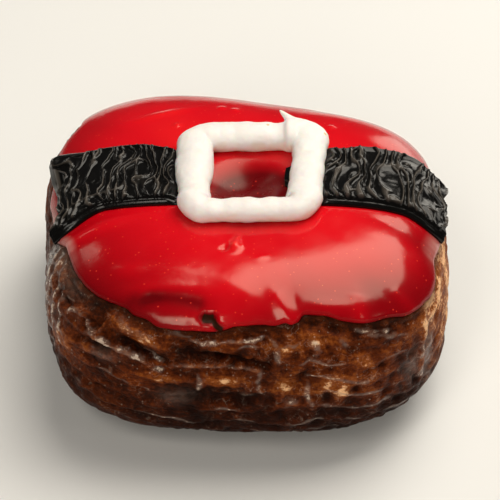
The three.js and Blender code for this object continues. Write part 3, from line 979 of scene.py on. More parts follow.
@dataclass(frozen=True)
class Pastry:
    """The fried body: a closed shell whose side is worked into layers, ledges, blisters and glaze."""

    around: int = 500
    rings: int = 196
    crowd: float = 0.4
    layers: int = 14
    lump: float = 0.55
    inset: float = 0.75
    bound: float = -0.15  # nothing stands further out of the form, but at one corner
    corner: tuple[float, float, float] = (229.0, 13.0, 0.8)
    softening: float = 0.6
    sheet: float = 0.42  # how much of the side's relief each of these gives
    leaf: float = 0.2
    wide_leaf: float = 0.3
    crag: float = 0.34
    knob: float = 0.3
    bump: float = 0.15
    blister: float = 0.4
    cell: float = 4.2  # width of one blister
    pebble: float = 0.25
    calming: float = 0.75  # share of the relief that a calm area takes away
    lip_width: float = 0.075  # share of a layer
    lip_glaze_and_glint: float = 0.55
    dark_below: float = 39.0
    dark_fade: float = 11.0
    shade_under_icing: float = 2.2  # height of the painted shade under the icing
    undercut: float = 0.55
    hem: float = 1.6
    base_fade: float = 4.0
    gap: float = 0.12
    icing: float = 1.7
    under: float = 0.07  # share of the rings that lies under the icing
    floor: float = 0.95  # where the rings reach the base
    wander: tuple[tuple[float, int, float, float], ...] = (
        (1.1, 2, 0.12, 0.6), (0.6, 5, 0.45, 2.1), (0.3, 11, -0.9, 0.4),
    )
    blisters: tuple[tuple[float, float, float, float, float], ...] = (
        (224, 43, 5, 2.4, 1.6), (262, 37, 13, 2.2, -1.5), (300, 40, 8, 3, 1.1), (245, 24, 10, 3, 1),
        (332, 30, 10, 4, 0.8), (40, 38, 9, 3, 1.3), (85, 30, 12, 2.6, -1.3), (120, 41, 7, 2.6, 1.4),
        (165, 33, 9, 3, 1.2),
    )
    creases: tuple[Crease, ...] = (
        # The curled flap at the left front corner, and the pale rim beside it
        Crease((229, 51.6), (235.6, 52.4), 0.55, 1.1, 0.6, -3.0),
        Crease((223, 49.8), (229, 51.2), 0.5, 0.8, 0.9, 0.9),
        # Ledges that run down to the right
        Crease((236, 53.2), (252, 48.4), 1.1, 1.3, 0.25, 0.4),
        Crease((231, 48.2), (248.4, 44.3), 0.7, 1.2, 0.95, 0.7),
        Crease((240, 49.4), (252, 45.6), 0.8, -1.4),
        Crease((246, 48.4), (251.4, 45.2), 0.5, 0.8, 0.7),
        Crease((226, 46.2), (238, 46.0), 0.8, -0.9),
        # The pale broken ledge in the middle, the long groove under it and the next sheet's edge
        Crease((257, 50.9), (266, 50.0), 0.5, 1.1, 1.0, -0.3),
        Crease((266, 50.4), (279, 51.6), 0.45, 0.9, 0.8, -0.3),
        Crease((254, 48.5), (279, 44.9), 0.8, -1.7, 0.0, 0.3),
        Crease((251, 44.4), (278, 43.7), 0.5, 0.8, 0.35, 0.8),
        # Upright glints where glaze ran down
        Crease((279.4, 51.0), (281, 44.8), 0.7, 0.4, 0.62, 0.9),
        Crease((277, 43.9), (277.8, 37.0), 0.7, 0.4, 0.55, -0.9),
        Crease((260.5, 42.6), (259.6, 36.6), 0.7, 0.4, 0.55, 0.9),
        Crease((289.2, 40.6), (290.2, 33.8), 0.7, 0.45, 0.62, -0.8),
        Crease((290.4, 50.7), (290.6, 46.8), 0.8, 0.4, 0.62, 0.8),
        Crease((298, 50.4), (297.8, 47.6), 0.7, 0.4, 0.5),
        # Bright streaks at the right, and the sharp glazed ridge round the right corner
        Crease((302, 51.6), (311, 49.4), 0.45, 0.6, 0.8, -0.3),
        Crease((304, 49.9), (313, 48.2), 0.4, 0.5, 0.6, -0.3),
        Crease((322.6, 49.4), (320.4, 31.0), 0.8, 1.0, 0.55, -0.6),
        Crease((334, 51.6), (322.8, 48.6), 0.5, 0.8, 0.5, -0.5),
        # Pale streaks down the left wall: painted reflections
        Crease((202, 55), (207, 36), 0.8, 0.7, 0.9, 0.6),
        Crease((207, 55), (213.5, 38), 0.8, 0.7, 1.0, -0.6),
        Crease((212, 54), (217, 42), 0.7, 0.6, 1.0, 0.5),
        Crease((217, 53), (222, 40), 0.7, 0.6, 0.8, 0.5),
    )
    patches: tuple[Patch, ...] = (
        # Blisters and lumps that stand out and are browned
        Patch(267.5, 41.2, 6.5, 1.9, 1.2, bake=0.4),
        Patch(281.8, 40, 4.2, 1.8, 1.1, bake=0.4),
        Patch(284.5, 48.6, 4, 1.5, 0.7, bake=0.45),
        Patch(291.5, 50, 4.5, 1.4, 0.8, bake=0.4),
        Patch(231.6, 44.2, 1.6, 1.2, 0.6, bake=0.7),
        Patch(252.5, 40.6, 5.5, 1.6, 0.9, bake=0.45),
        Patch(297.4, 37.2, 2.2, 1.9, 1, bake=0.3),
        Patch(306, 45.5, 6, 1.8, 0.6, bake=0.35),
        # Hollows, sunk and painted dark: char and painted shade
        Patch(287.5, 41.9, 2.2, 1.3, -1.3, char=0.5),
        Patch(300.3, 37.7, 1.8, 1.3, -1.1, char=0.6),
        Patch(293.5, 36.3, 2.4, 1.7, -0.4, char=0.9),
        Patch(272.5, 35.6, 3.6, 1.6, -0.3, char=0.9),
        Patch(293.5, 32.3, 5, 1.5, -0.3, char=0.8),
        # Glaze in films and in crisp spots
        Patch(236, 44.4, 3.2, 1.5, 0.5, film_and_sheen=0.7, calm=0.8),
        Patch(254.5, 35.8, 4.4, 1.6, 0.5, film_and_sheen=0.5, calm=0.6),
        Patch(250.5, 42.9, 1.3, 0.7, 0.4, glaze=1),
        Patch(273.4, 37.2, 1.5, 0.9, 0.5, glaze=1),
        Patch(284.5, 35.8, 1.6, 0.8, 0.4, glaze=0.9),
        # The right corner, the left corner and wall, and calmer areas in front
        Patch(316.5, 45.4, 5.5, 3.2, -0.2, calm=0.9),
        Patch(317, 38.5, 3.2, 3.4, 0.2, film_and_sheen=0.6, calm=0.5),
        Patch(323.6, 39.5, 2.2, 8, 0.4, glaze=0.4, film_and_sheen=0.9),
        # The pale right wall: painted light where the side light falls, through the baking mark
        Patch(339, 46.5, 13, 11, 0.2, bake=2.8, calm=0.9),
        # The left wall's pale glaze and grey film: painted reflections
        Patch(214, 45.5, 9, 5.5, 0, glaze=0.2, film_and_sheen=0.35, calm=0.3),
        Patch(199, 50, 9, 8, 0, glaze=0.42, film_and_sheen=0.9, calm=0.3),
        Patch(208, 54, 13, 2.4, 0.2, glaze=0.5, film_and_sheen=1, calm=0.5),
        Patch(243, 57, 12, 3, 0, calm=0.8),
        Patch(246, 47, 20, 7, 0, calm=0.45),
        Patch(228.5, 27, 9, 6.5, 0.9),
    )
    broad: Noise = Noise(11)
    fine: Noise = Noise(12)
    sparse: Noise = Noise(13)

    def layer_at(self, theta: Array, arc: Array, top: Array) -> Array:
        """Which layer a place lies in, counted down from the icing, with the rows' wandering allowed for.

        Args:
            theta: angles round the form.
            arc: distances up the profile, mm.
            top: where the side ends under the icing, mm.

        Returns:
            The layer, with the share of the way down it as its fraction.
        """
        share = 1 - arc / top
        layer = self.layers * share
        for _ in range(3):
            still = np.clip(np.minimum(share, 1 - share) * 4, 0, 1)
            strays = sum(
                size * np.sin(waves * theta + turn * layer + start)
                for size, waves, turn, start in self.wander
            )
            layer = self.layers * (1 - (arc - still * strays) / top)
        return layer

    def place(self, theta: Array, arc: Array) -> Array:
        """Places for the noise to read: round the side, and up it."""
        radius = 180 / math.pi * DEGREE
        return np.stack([radius * np.cos(theta), radius * np.sin(theta), arc], axis=1)

    def rows(self, theta: Array, arc: Array, top: Array) -> tuple[Array, Array]:
        """The relief that covers the whole side.

        Args:
            theta: angle round the form for each vertex.
            arc: distance up the profile.
            top: where the side ends under the icing.

        Returns:
            The lift of each vertex in mm, and its share of the way down its layer.
        """
        degrees, where = np.degrees(theta) % 360, self.place(theta, arc)
        warp = 0.5 * self.broad.rough(where * (1, 1, 1.6), 9.0)
        warp += 0.18 * self.fine.at(where * (0.7, 0.7, 1.5), 2.4)
        layer = self.layer_at(theta, arc, top) + 0.55 * warp
        swell = 0.5 + 0.5 * np.sin(4 * theta + 1.7 * layer) * np.cos(3 * theta - 0.8 * layer)
        phase = layer % 1
        # Blisters side by side along each row, most of all at the right of the front
        turn = np.sin(2 * np.pi * (degrees * DEGREE / self.cell + 0.37 * np.floor(layer) + 0.8 * warp))
        cells = np.sin(np.pi * phase) * turn * (0.35 + 0.65 * hump(turn_from(degrees, 291) / 34))
        # A sheet comes out slowly to its edge and drops sharply below it
        sheet = np.where(phase < 0.3, np.cos(np.pi * phase / 0.3), -np.cos(np.pi * (phase - 0.3) / 0.7))
        flat = where * (0.22, 0.22, 1.0)
        lift = self.sheet * (self.lump * (0.55 + 0.85 * swell) * sheet)
        lift += self.leaf * (self.fine.ridged(flat + 30, 0.85) - 0.6)
        lift += self.wide_leaf * (self.sparse.ridged(flat + 70, 1.7) - 0.6)
        lift += self.crag * self.fine.rough(where * (0.6, 0.6, 1.0) + 50, 2.6, 3)
        lift += self.knob * self.broad.rough(where * (0.8, 0.8, 1.0) + 300, 3.6, 2)
        lift += self.bump * self.sparse.rough(where + 20, 1.3, 2)
        return lift + self.blister * cells, phase

    def worked(self, theta: Array, arc: Array, top: Array) -> tuple[Array, dict[str, Array]]:
        """The side's relief and what its finish reads.

        Args:
            theta: angle round the form for each vertex.
            arc: distance up the profile.
            top: where the side ends under the icing.

        Returns:
            The lift of each vertex in mm, and the marks by name.
        """
        degrees, where = np.degrees(theta) % 360, self.place(theta, arc)
        lift, phase = self.rows(theta, arc, top)
        for at, middle, wide, high, rise in self.blisters:
            lift += rise * spot(degrees, arc, at, middle, wide, high)
        marks = {name: np.zeros_like(arc) for name in ("glaze", "film_and_sheen", "bake", "char")}
        calm, added = np.zeros_like(arc), np.zeros_like(arc)
        for patch in self.patches:
            near = spot(degrees, arc, patch.at, patch.arc, patch.wide, patch.high)
            added += patch.rise * near
            calm = np.maximum(calm, patch.calm * near)
            for name in marks:
                marks[name] = np.maximum(marks[name], getattr(patch, name) * near)
        wobble = 0.45 * self.fine.at(where + 90, 1.5) + 0.2 * self.fine.at(where + 110, 0.7)
        for crease in self.creases:
            near = crease.near(degrees, arc, wobble)
            added += crease.rise * near
            marks["glaze"] = np.maximum(marks["glaze"], crease.glaze * near)
        lift = lift * (1 - self.calming * calm) + added
        # Pebbles in the glaze, the breaks in it, and what ran to the sheets' edges, painted pale there also as
        # a painted highlight
        pebbled = ease(1.6 * np.maximum(marks["glaze"], 0.6 * marks["film_and_sheen"]))
        lift += self.pebble * self.sparse.at(where + 130, 0.6) * pebbled
        marks["glaze"] *= 0.3 + 0.95 * ease(0.5 + 0.9 * self.fine.at(where + 170, 1.1))
        marks["film_and_sheen"] *= 0.6 + 0.6 * (0.5 + 0.5 * self.broad.at(where + 260, 2.2))
        lip = np.exp(-((np.minimum(phase, 1 - phase) / self.lip_width) ** 2))
        lip *= ease(2.4 * self.sparse.at(where + 330, 4.5) - 0.1)
        marks["glaze"] = np.maximum(marks["glaze"], self.lip_glaze_and_glint * lip * (1 - 0.7 * calm))
        # Painted shade towards the base and close under the icing, and random burnt patches
        low = ease((self.dark_below - arc) / self.dark_fade)
        shade_under_icing = ease(1 - (top - arc) / self.shade_under_icing)
        burnt = 0.3 * ease(self.broad.at(where + 240, 8.0) - 0.25)
        # How far the side stands out, as painted light and shade, darker towards the base, with random tone
        marks["relief"] = 0.38 - 0.16 * low + 0.26 * lift + 0.16 * self.broad.rough(where + 200, 6.0)
        marks["char"] = np.maximum.reduce([marks["char"], 0.6 * low, 0.55 * shade_under_icing, burnt])
        return lift, marks

    def build(self) -> Piece:
        """Makes the body.

        Returns:
            The piece.
        """
        piece, theta, share = ball("pastry_body", self.around, self.rings, self.crowd)
        rim = FORM.rim(theta)
        rim_arc = FORM.arc_at(rim)
        under, floor = self.under, self.floor
        top = rim_arc - FORM.lip_round - 2 * self.gap
        covered = np.minimum(share / under, 1)
        profile = np.where(share < under, 90 - (90 - FORM.profile_at(top)) * covered, 0)
        side = np.clip((share - under) / (floor - under), 0, 1)
        arc = top * (1 - side)
        lift, marks = self.worked(theta, arc, top)
        on_side = (share >= under) & (share <= floor)
        profile = np.where(on_side, FORM.profile_at(arc), profile)
        profile = np.where(share > floor, -90, profile)
        hem = mixed(-self.undercut, -self.inset, ease((top - arc) / self.hem))
        from_rim = np.clip((top - arc) / 1.5, 0, 1)
        to_base = ease(FORM.point(theta, profile)[:, 2] / self.base_fade)
        lift = hem + from_rim * lift
        at, width, room = self.corner
        bound = self.bound + room * np.exp(-(turn_from(np.degrees(theta), at) / width) ** 2)
        over = lift - bound + self.softening
        lift = np.where(over > 0, bound - self.softening * (1 - np.tanh(over / self.softening)), lift)
        lift = np.where(on_side, to_base * lift, -(self.icing + self.gap))
        lift = np.where(share > floor, 0, lift)
        points = FORM.lifted(theta, profile, lift)
        inwards = np.clip((1 - share) / (1 - floor), 0, 1)
        points[share > floor, :2] *= inwards[share > floor, None]
        write_points(piece, points)
        for name, values in marks.items():
            write_mark(piece, name, values)
        return piece


@dataclass(frozen=True)
class Bump:
    """A lump or hollow in the icing at a place on the plan, mm."""

    x: float
    y: float
    wide: float
    long: float
    rise: float
    turn: float = 0.0


@dataclass(frozen=True)
class Icing:
    """The poured skin: a closed shell with a rounded rim, drips, slow waves and a few bubbles."""

    around: int = 520
    rings: int = 172
    crowd: float = 0.4
    thickness: float = 1.7
    outer: float = 0.66  # share of the rings on the skin
    rounded: float = 0.74  # where the rounded rim ends
    deepest_shade: tuple[float, float, float] = (0.6, -3.8, 11.0)  # painted shade in the dimple, under the buckle: its middle and size
    sheened_edges: tuple[tuple[float, float, float], ...] = ((198, 15, 2.0), (343, 9, 4.2))  # edges that ran thin, painted pale with a painted reflection
    slant: tuple[float, float] = (-0.0012, 0.0012)  # painted lighter to the left and to the back, per mm
    right_tone: tuple[float, float, float] = (0.2, 0.34, 0.16)  # painted shade at the rim, and the painted light that each rise above it adds
    # Painted shade at the left rim, and the painted light that the climb above it adds
    left_tone: tuple[float, float] = (0.08, 0.72)
    wave_rises: tuple[float, float] = (0.17, 0.05)
    rim_rises: tuple[float, float] = (0.12, 0.14)
    under_belt: tuple[float, float, float] = (0.9, 13.0, 3.0)  # how much smoother, and how far out
    waves: Noise = Noise(21)
    bumps: tuple[Bump, ...] = (
        # A pulled nub, and a small one beside it
        Bump(-1.4, -23.2, 1.2, 1.4, 1),
        Bump(-1.1, -20.9, 0.5, 0.9, 0.45),
        Bump(-3.4, -23.8, 1.1, 0.7, -0.5, 30),
        Bump(4.4, -26.4, 1, 0.7, 0.16),
        Bump(22, -24, 0.5, 0.5, -0.07),
        Bump(-23, -29, 3.2, 2, 0.3),
        Bump(-17.7, 20.8, 0.8, 0.8, 0.45),
        Bump(-8.4, 28.9, 0.8, 0.8, 0.4),
        Bump(-5.2, 27.9, 0.9, 0.9, 0.35),
        Bump(16.8, 21.3, 0.8, 0.8, 0.35),
        Bump(-21.5, 26, 6.5, 1.3, 0.4, 20),
        Bump(-31, -15.2, 8, 2.4, 0.6, 20),
        Bump(-14, -34.8, 9.5, 1.8, 0.35, -4),
        Bump(0, -35, 5, 3, 0.3, -20),
        Bump(27, -31, 9, 4, -0.3, 25),
        Bump(33, -14.4, 2.6, 7, -0.24, 62),
        Bump(20, -37, 5, 2, 0.3, 8),
        Bump(-4.5, -40.2, 5.5, 2.6, 0.4),
        Bump(0.5, -32.5, 9, 12, 0.46),
    )
    folds: tuple[Crease, ...] = (
        # The groove over the lip, the lip itself, and the burst bubble between them
        Crease((240, 58.2), (262, 57.4), 1.9, -0.3, 0.0, 2.0),
        Crease((260.2, 55.7), (263.8, 55.5), 1.0, -0.9, 1.0, -0.3),
        Crease((263.4, 55.4), (266.6, 53.0), 0.62, -0.8, 1.0, -0.4),
        # Drips that pull the skin down at the right
        Crease((282, 61), (287, 53.6), 2.2, 0.4),
        Crease((306, 59), (303, 52.6), 2.0, 0.4),
        Crease((316, 57), (318, 50), 1.6, 0.2),
    )

    def rim_waver(self, theta: Array) -> Array:
        """How far the rim strays up or down.

        Args:
            theta: angles round the form.

        Returns:
            A distance for each, mm.
        """
        ring = np.stack([45 * np.cos(theta), 45 * np.sin(theta), np.zeros_like(theta)], axis=1)
        slow, quick = self.rim_rises
        return slow * self.waves.at(ring, 5.0) + quick * self.waves.at(ring + 40, 2.2)

    def waved(self, points: Array, theta: Array, arc: Array) -> tuple[Array, Array, Array]:
        """The skin's slow waves, lumps and grooves.

        Args:
            points: places on the skin, mm.
            theta: their angles round the form.
            arc: their distances up the profile.

        Returns:
            How far each stands out, where the skin is broken through, and how deep its grooves are, mm.
        """
        slow, quick = self.wave_rises
        lift = slow * self.waves.at(points, 15.0) + quick * self.waves.at(points + 60, 6.0)
        for bump in self.bumps:
            turn = math.radians(bump.turn)
            x, y = points[:, 0] - bump.x, points[:, 1] - bump.y
            along = (x * math.cos(turn) + y * math.sin(turn)) / bump.wide
            across = (y * math.cos(turn) - x * math.sin(turn)) / bump.long
            lift += bump.rise * hump(np.hypot(along, across))
        bare_in_shade, sunk = np.zeros_like(lift), np.zeros_like(lift)
        for fold in self.folds:
            near = fold.near(np.degrees(theta) % 360, arc, 0.0)
            lift += fold.rise * near
            sunk = np.maximum(sunk, -fold.rise * near)
            bare_in_shade = np.maximum(bare_in_shade, fold.glaze * near)
        return lift, bare_in_shade, sunk

    def shading_tone(self, points: Array, climb: Array, waved: Array, sunk: Array) -> Array:
        """How bright the icing is painted: painted shade in the dimple under the buckle, in its grooves and
        towards the rim, most at the left, and painted light higher up, on its lumps and towards the back.

        Args:
            points: places on the skin, mm.
            climb: their distances up from the rim, mm.
            waved: how far they stand out, mm.
            sunk: how deep they lie in a groove, mm.

        Returns:
            A value for each, from 0 in the deepest painted shade to 1 in painted light.
        """
        shade_x, shade_y, shade_size = self.deepest_shade
        dimple_shade = hump(np.hypot(points[:, 0] - shade_x, points[:, 1] - shade_y) / shade_size)
        at_rim, gained, more = self.right_tone
        right = at_rim + gained * ease(climb / 16) + more * ease((climb - 13) / 13)
        at_rim, gained = self.left_tone
        left = at_rim + gained * np.clip(climb / 28, 0, 1)
        at_left = ease((3 - points[:, 0]) / 24) * ease((8 - points[:, 1]) / 16)
        # Lumps painted lighter; the dimple and the grooves painted darker as shade
        painted_shading = mixed(right, left, at_left) + 0.3 * waved - 1.2 * dimple_shade - 0.6 * sunk
        return painted_shading + points[:, :2] @ self.slant

    def clear_edge_sheen(self, theta: Array, climb: Array) -> Array:
        """How pale the skin is painted at the edges that ran thin: partly see-through icing, partly a painted
        reflection.

        Args:
            theta: angles round the form.
            climb: distances up from the rim, mm.

        Returns:
            A value for each, from 0 up.
        """
        where = np.stack([60 * np.cos(theta), 60 * np.sin(theta), 0.2 * climb], axis=1)
        thin_and_sheened = sum(
            np.exp(-(turn_from(np.degrees(theta), at) / wide) ** 4) * ease(1 - climb / reach)
            for at, wide, reach in self.sheened_edges
        )
        return thin_and_sheened * (0.7 + 0.5 * self.waves.at(where, 1.6))

    def build(self) -> Piece:
        """Makes the skin.

        Returns:
            The piece.
        """
        piece, theta, share = ball("icing_skin", self.around, self.rings, self.crowd)
        rim = FORM.rim(theta)
        rim_arc = FORM.arc_at(rim)
        on_skin = share <= self.outer
        on_round = (share > self.outer) & (share <= self.rounded)
        down = np.where(on_skin, share / self.outer, (1 - share) / (1 - self.rounded))
        profile = 90 - (90 - rim) * np.clip(down, 0, 1)
        bend = np.pi * (share - self.outer) / (self.rounded - self.outer)
        waver = self.rim_waver(theta)
        drop = np.where(on_round, FORM.lip_round * np.sin(bend), 0)
        plain_arc = FORM.arc_at(profile)
        near_rim = ease(1 - (plain_arc - rim_arc) / 5)
        arc = plain_arc - drop - np.where(on_round, waver, waver * near_rim)
        middle, radius = (FORM.lip - self.thickness) / 2, (FORM.lip + self.thickness) / 2
        lift = np.where(on_skin, FORM.lip_lift(theta, profile), -self.thickness)
        lift = np.where(on_round, middle + radius * np.cos(bend), lift)
        profile = np.where((drop > 0) | (near_rim > 0), FORM.profile_at(arc), profile)
        points = FORM.lifted(theta, profile, lift)
        waved, bare_in_shade, sunk = self.waved(points, theta, arc)
        smoother, reach, fading = self.under_belt
        belted = 1 - smoother * ease((reach - np.abs(points[:, 1])) / fading)
        fade = np.where(on_skin, 1.0, np.where(on_round, 0.5 + 0.5 * np.cos(bend), 0.0))
        lift = lift + waved * fade * belted
        points = FORM.lifted(theta, profile, lift)
        write_points(piece, points)
        # What the finish reads
        climb = FORM.arc_at(profile) - rim_arc
        dimple_x, dimple_y, dimple_size = FORM.dimple[:3]
        in_dimple = hump(np.hypot(points[:, 0] - dimple_x, points[:, 1] - dimple_y) / (1.3 * dimple_size))
        turned_under = ease(np.where(on_skin, 0, bend) / 0.5)
        # Painted light and shade for the red
        write_mark(piece, "painted_shading", self.shading_tone(points, climb, waved, sunk))
        # Where the skin broke: the crust, painted dark as shade in the hole
        write_mark(piece, "bare_in_shade", bare_in_shade)
        write_mark(piece, "dull", np.maximum.reduce([0.45 * in_dimple, 0.9 * turned_under, ease(2.5 * bare_in_shade)]))
        # Pale edges: see-through icing with a painted reflection
        write_mark(piece, "clear", self.clear_edge_sheen(theta, climb))
        return piece


class Side(Enum):
    """Which length of the belt."""

    LEFT = "left"
    RIGHT = "right"


@dataclass(frozen=True)
class BeltLength:
    """One piped length of the belt: ribs across the band, a smooth ledge in front and a closed free end."""

    side: Side
    around: int = 150
    rings: int = 330
    middle: float = 0.3
    half: float = 9.8
    thick: float = 2.7
    tucked: float = 1.3
    gap: float = 0.05
    rib: float = 0.85
    pitch: float = 2.1
    crest: float = 0.27
    lobe: float = 0.55
    ledge: float = 0.85
    ledge_height: float = 0.42
    flap: float = 3.3
    foot: float = 40.3
    starts: tuple[float, float] = (-12.6, 7.9)  # of the left and the right length
    clear_of: tuple[float, float] = (15.2, 15.4)  # where each comes out from under the buckle
    longer: float = 0.4  # how much further down the right one reaches
    left_ribs: tuple[float, float, float, float] = (60, 1.25, 0.5, 0.22)  # place, drifts and softness
    right_ribs: tuple[float, float, float, float] = (160, 1.1, 0.22, 0.34)
    bow: float = 0.98
    lump: float = 0.24
    ragged: float = 0.45
    flap_lift: float = 0.9
    knob: float = 0.7
    cap: float = 0.03  # share of the length in which each end closes
    beneath: float = 0.2  # share of the section that lies flat beneath
    ribs: Noise = Noise(31)
    lumps: Noise = Noise(32)

    def ends(self) -> tuple[float, float, float]:
        """Where the length starts and ends along X, and where it comes out from under the buckle.

        Returns:
            The three places, mm.
        """
        if self.side is Side.LEFT:
            return self.starts[0], -self.foot, self.clear_of[0]
        return self.starts[1], self.foot + self.longer, self.clear_of[1]

    def edges(self, x: Array) -> tuple[Array, Array]:
        """The band's front and back edges at places along it.

        Args:
            x: places along the band, mm.

        Returns:
            The front edge and the back edge along Y, mm.
        """
        if self.side is Side.LEFT:
            bulge = 1.9 * ease((-x - 17) / 9) - 0.9 * ease((x + 19) / 3)
            return -self.half - 5.2 * ease((-x - 30) / 10.5), self.half + bulge + 2.4 * ease((-x - 36) / 5)
        point = ease((13.5 - x) / 6)
        front = mixed(-self.half - 1.9 * ease((x - 33) / 7), -3.0, point)
        bulge = 1.6 * ease((x - 19) / 5) - 3.6 * ease((x - 34) / 7)
        return front, mixed(self.half + bulge, 2.4, point)

    def even_places(self) -> tuple[Array, Array]:
        """Places along X and their distances over the curve of the top.

        Returns:
            The places and the distances, mm.
        """
        start, end, _ = self.ends()
        x = np.linspace(start, end, 400)
        line = FORM.over_top(x, np.full_like(x, self.middle), np.zeros_like(x))
        steps = np.linalg.norm(np.diff(line, axis=0), axis=1)
        return x, np.concatenate([[0], np.cumsum(steps)])

    def ribbed(self, run: Array, across: Array, from_front: Array) -> Array:
        """The ribs: 1 on a sharp crest, 0 in the bottom of a wide groove.

        Args:
            run: distance along the band, mm.
            across: distance across it, mm.
            from_front: distance from the front edge, mm.

        Returns:
            A value for each place.
        """
        ahead, slow, quick, softness = self.left_ribs if self.side is Side.LEFT else self.right_ribs
        seat = np.stack([run + ahead, across, np.zeros_like(run)], axis=1)
        drift = slow * self.ribs.at(seat * (1, 0.8, 1), 4.6)
        drift += quick * self.ribs.at(seat + 20, 2.3)
        wave = np.abs(np.sin(math.pi * (run / self.pitch + drift)))
        lobes = self.lobe * hump((from_front - 3.0) / 2.4)
        lobes *= ease(self.lumps.at(seat * (1, 0.1, 1) + 90, 3.2) + 0.55)
        crest = np.exp(-((wave / (self.crest + lobes)) ** 2))
        web = hump(self.ribs.at(seat * (1, 0.5, 1) + 80, 2.6) / 0.15)
        fades = 0.6 + 0.5 * self.ribs.at(seat + 120, 3.0)
        soft = softness * (1 - wave)
        return np.clip(np.maximum(crest * fades, 0.7 * web * fades) + soft, 0, 1)

    def build(self) -> Piece:
        """Makes the length of belt.

        Returns:
            The piece.
        """
        piece, turn, share = ball(f"belt_{self.side.value}_piping", self.around, self.rings)
        start, end, clear_of = self.ends()
        places, runs = self.even_places()
        whole = runs[-1]
        go = np.clip((share - self.cap) / (1 - 2 * self.cap), 0, 1)
        x = np.interp(go * whole, runs, places)
        closed = rounded(np.minimum(share, 1 - share) / self.cap)
        front, back = self.edges(x)
        centre, half = self.middle + (front + back) / 2, (back - front) / 2
        # The section: over the top for most of the way round, and flat beneath
        lap = turn / math.pi  # -1 to 1, with 0 at the crest's middle
        bent = 1 - self.beneath
        over = np.abs(lap) < bent
        across = np.where(over, lap / bent, np.sign(lap) * (1 - (np.abs(lap) - bent) / self.beneath))
        width_share = np.sin(across * math.pi / 2 * self.bow) / math.sin(math.pi / 2 * self.bow)
        width_share = 0.75 * across + 0.25 * width_share
        edge = 1 - np.abs(across)
        shoulder = np.minimum(1, edge / np.where(across > 0, 0.2, 0.09)) ** 0.5
        away_front = (width_share + 1) * half
        above_ledge = ease((away_front - self.ledge) / 0.7)
        clear = ease((np.abs(x) - clear_of) / 2.0)
        full = mixed(self.tucked, self.thick, clear)
        seat = np.stack([go * whole, width_share * half, np.zeros_like(x)], axis=1)
        seat[:, 0] += 7 if self.side is Side.LEFT else 57
        lump = self.lumps.rough(seat, 5.0, 3)
        grain = self.ribbed(go * whole, width_share * half, away_front)
        from_back = ease(((1 - width_share) * half - 0.4) / 2.6)
        on_ribs = clear * above_ledge * ease(edge / 0.09) * from_back
        body = full * mixed(self.ledge_height, 1.0, above_ledge) * shoulder
        top = body - self.rib * on_ribs * (1 - grain)
        top = top + self.lump * clear * lump * edge * above_ledge
        near_end = ease((go - 0.8) / 0.2)
        flap = near_end * ease((width_share - 0.35) / 0.4) if self.side is Side.LEFT else 0 * near_end
        height = np.where(over, np.maximum((top + self.flap_lift * flap) * closed, 0.02), 0.0)
        ragged = self.ragged * clear * self.lumps.at(seat * (1, 0, 1) + 30, 2.2)
        ragged *= ease((width_share - 0.8) / 0.2)
        y = centre + (half * width_share + ragged) * (0.35 + 0.65 * closed)
        # The free end: a flap at the back and knobs along it
        outwards = self.knob * self.lumps.at(seat * (0, 1, 1) + 150, 3.4)
        if self.side is Side.RIGHT:
            outwards += 0.9 * ease(-(width_share + 0.3) / 0.6)
        x = x + np.sign(end - start) * (near_end * outwards + self.flap * flap)
        points = FORM.over_top(x, y, self.gap + height)
        write_points(piece, points)
        # The crests' share, which the finish paints grey as a painted highlight
        write_mark(piece, "crest", np.where(over, grain * on_ribs, 0))
        return piece


@dataclass(frozen=True)
class Dent:
    """A pinch in the piped ring, at a place on its own plan, mm."""

    x: float
    y: float
    wide: float
    depth: float


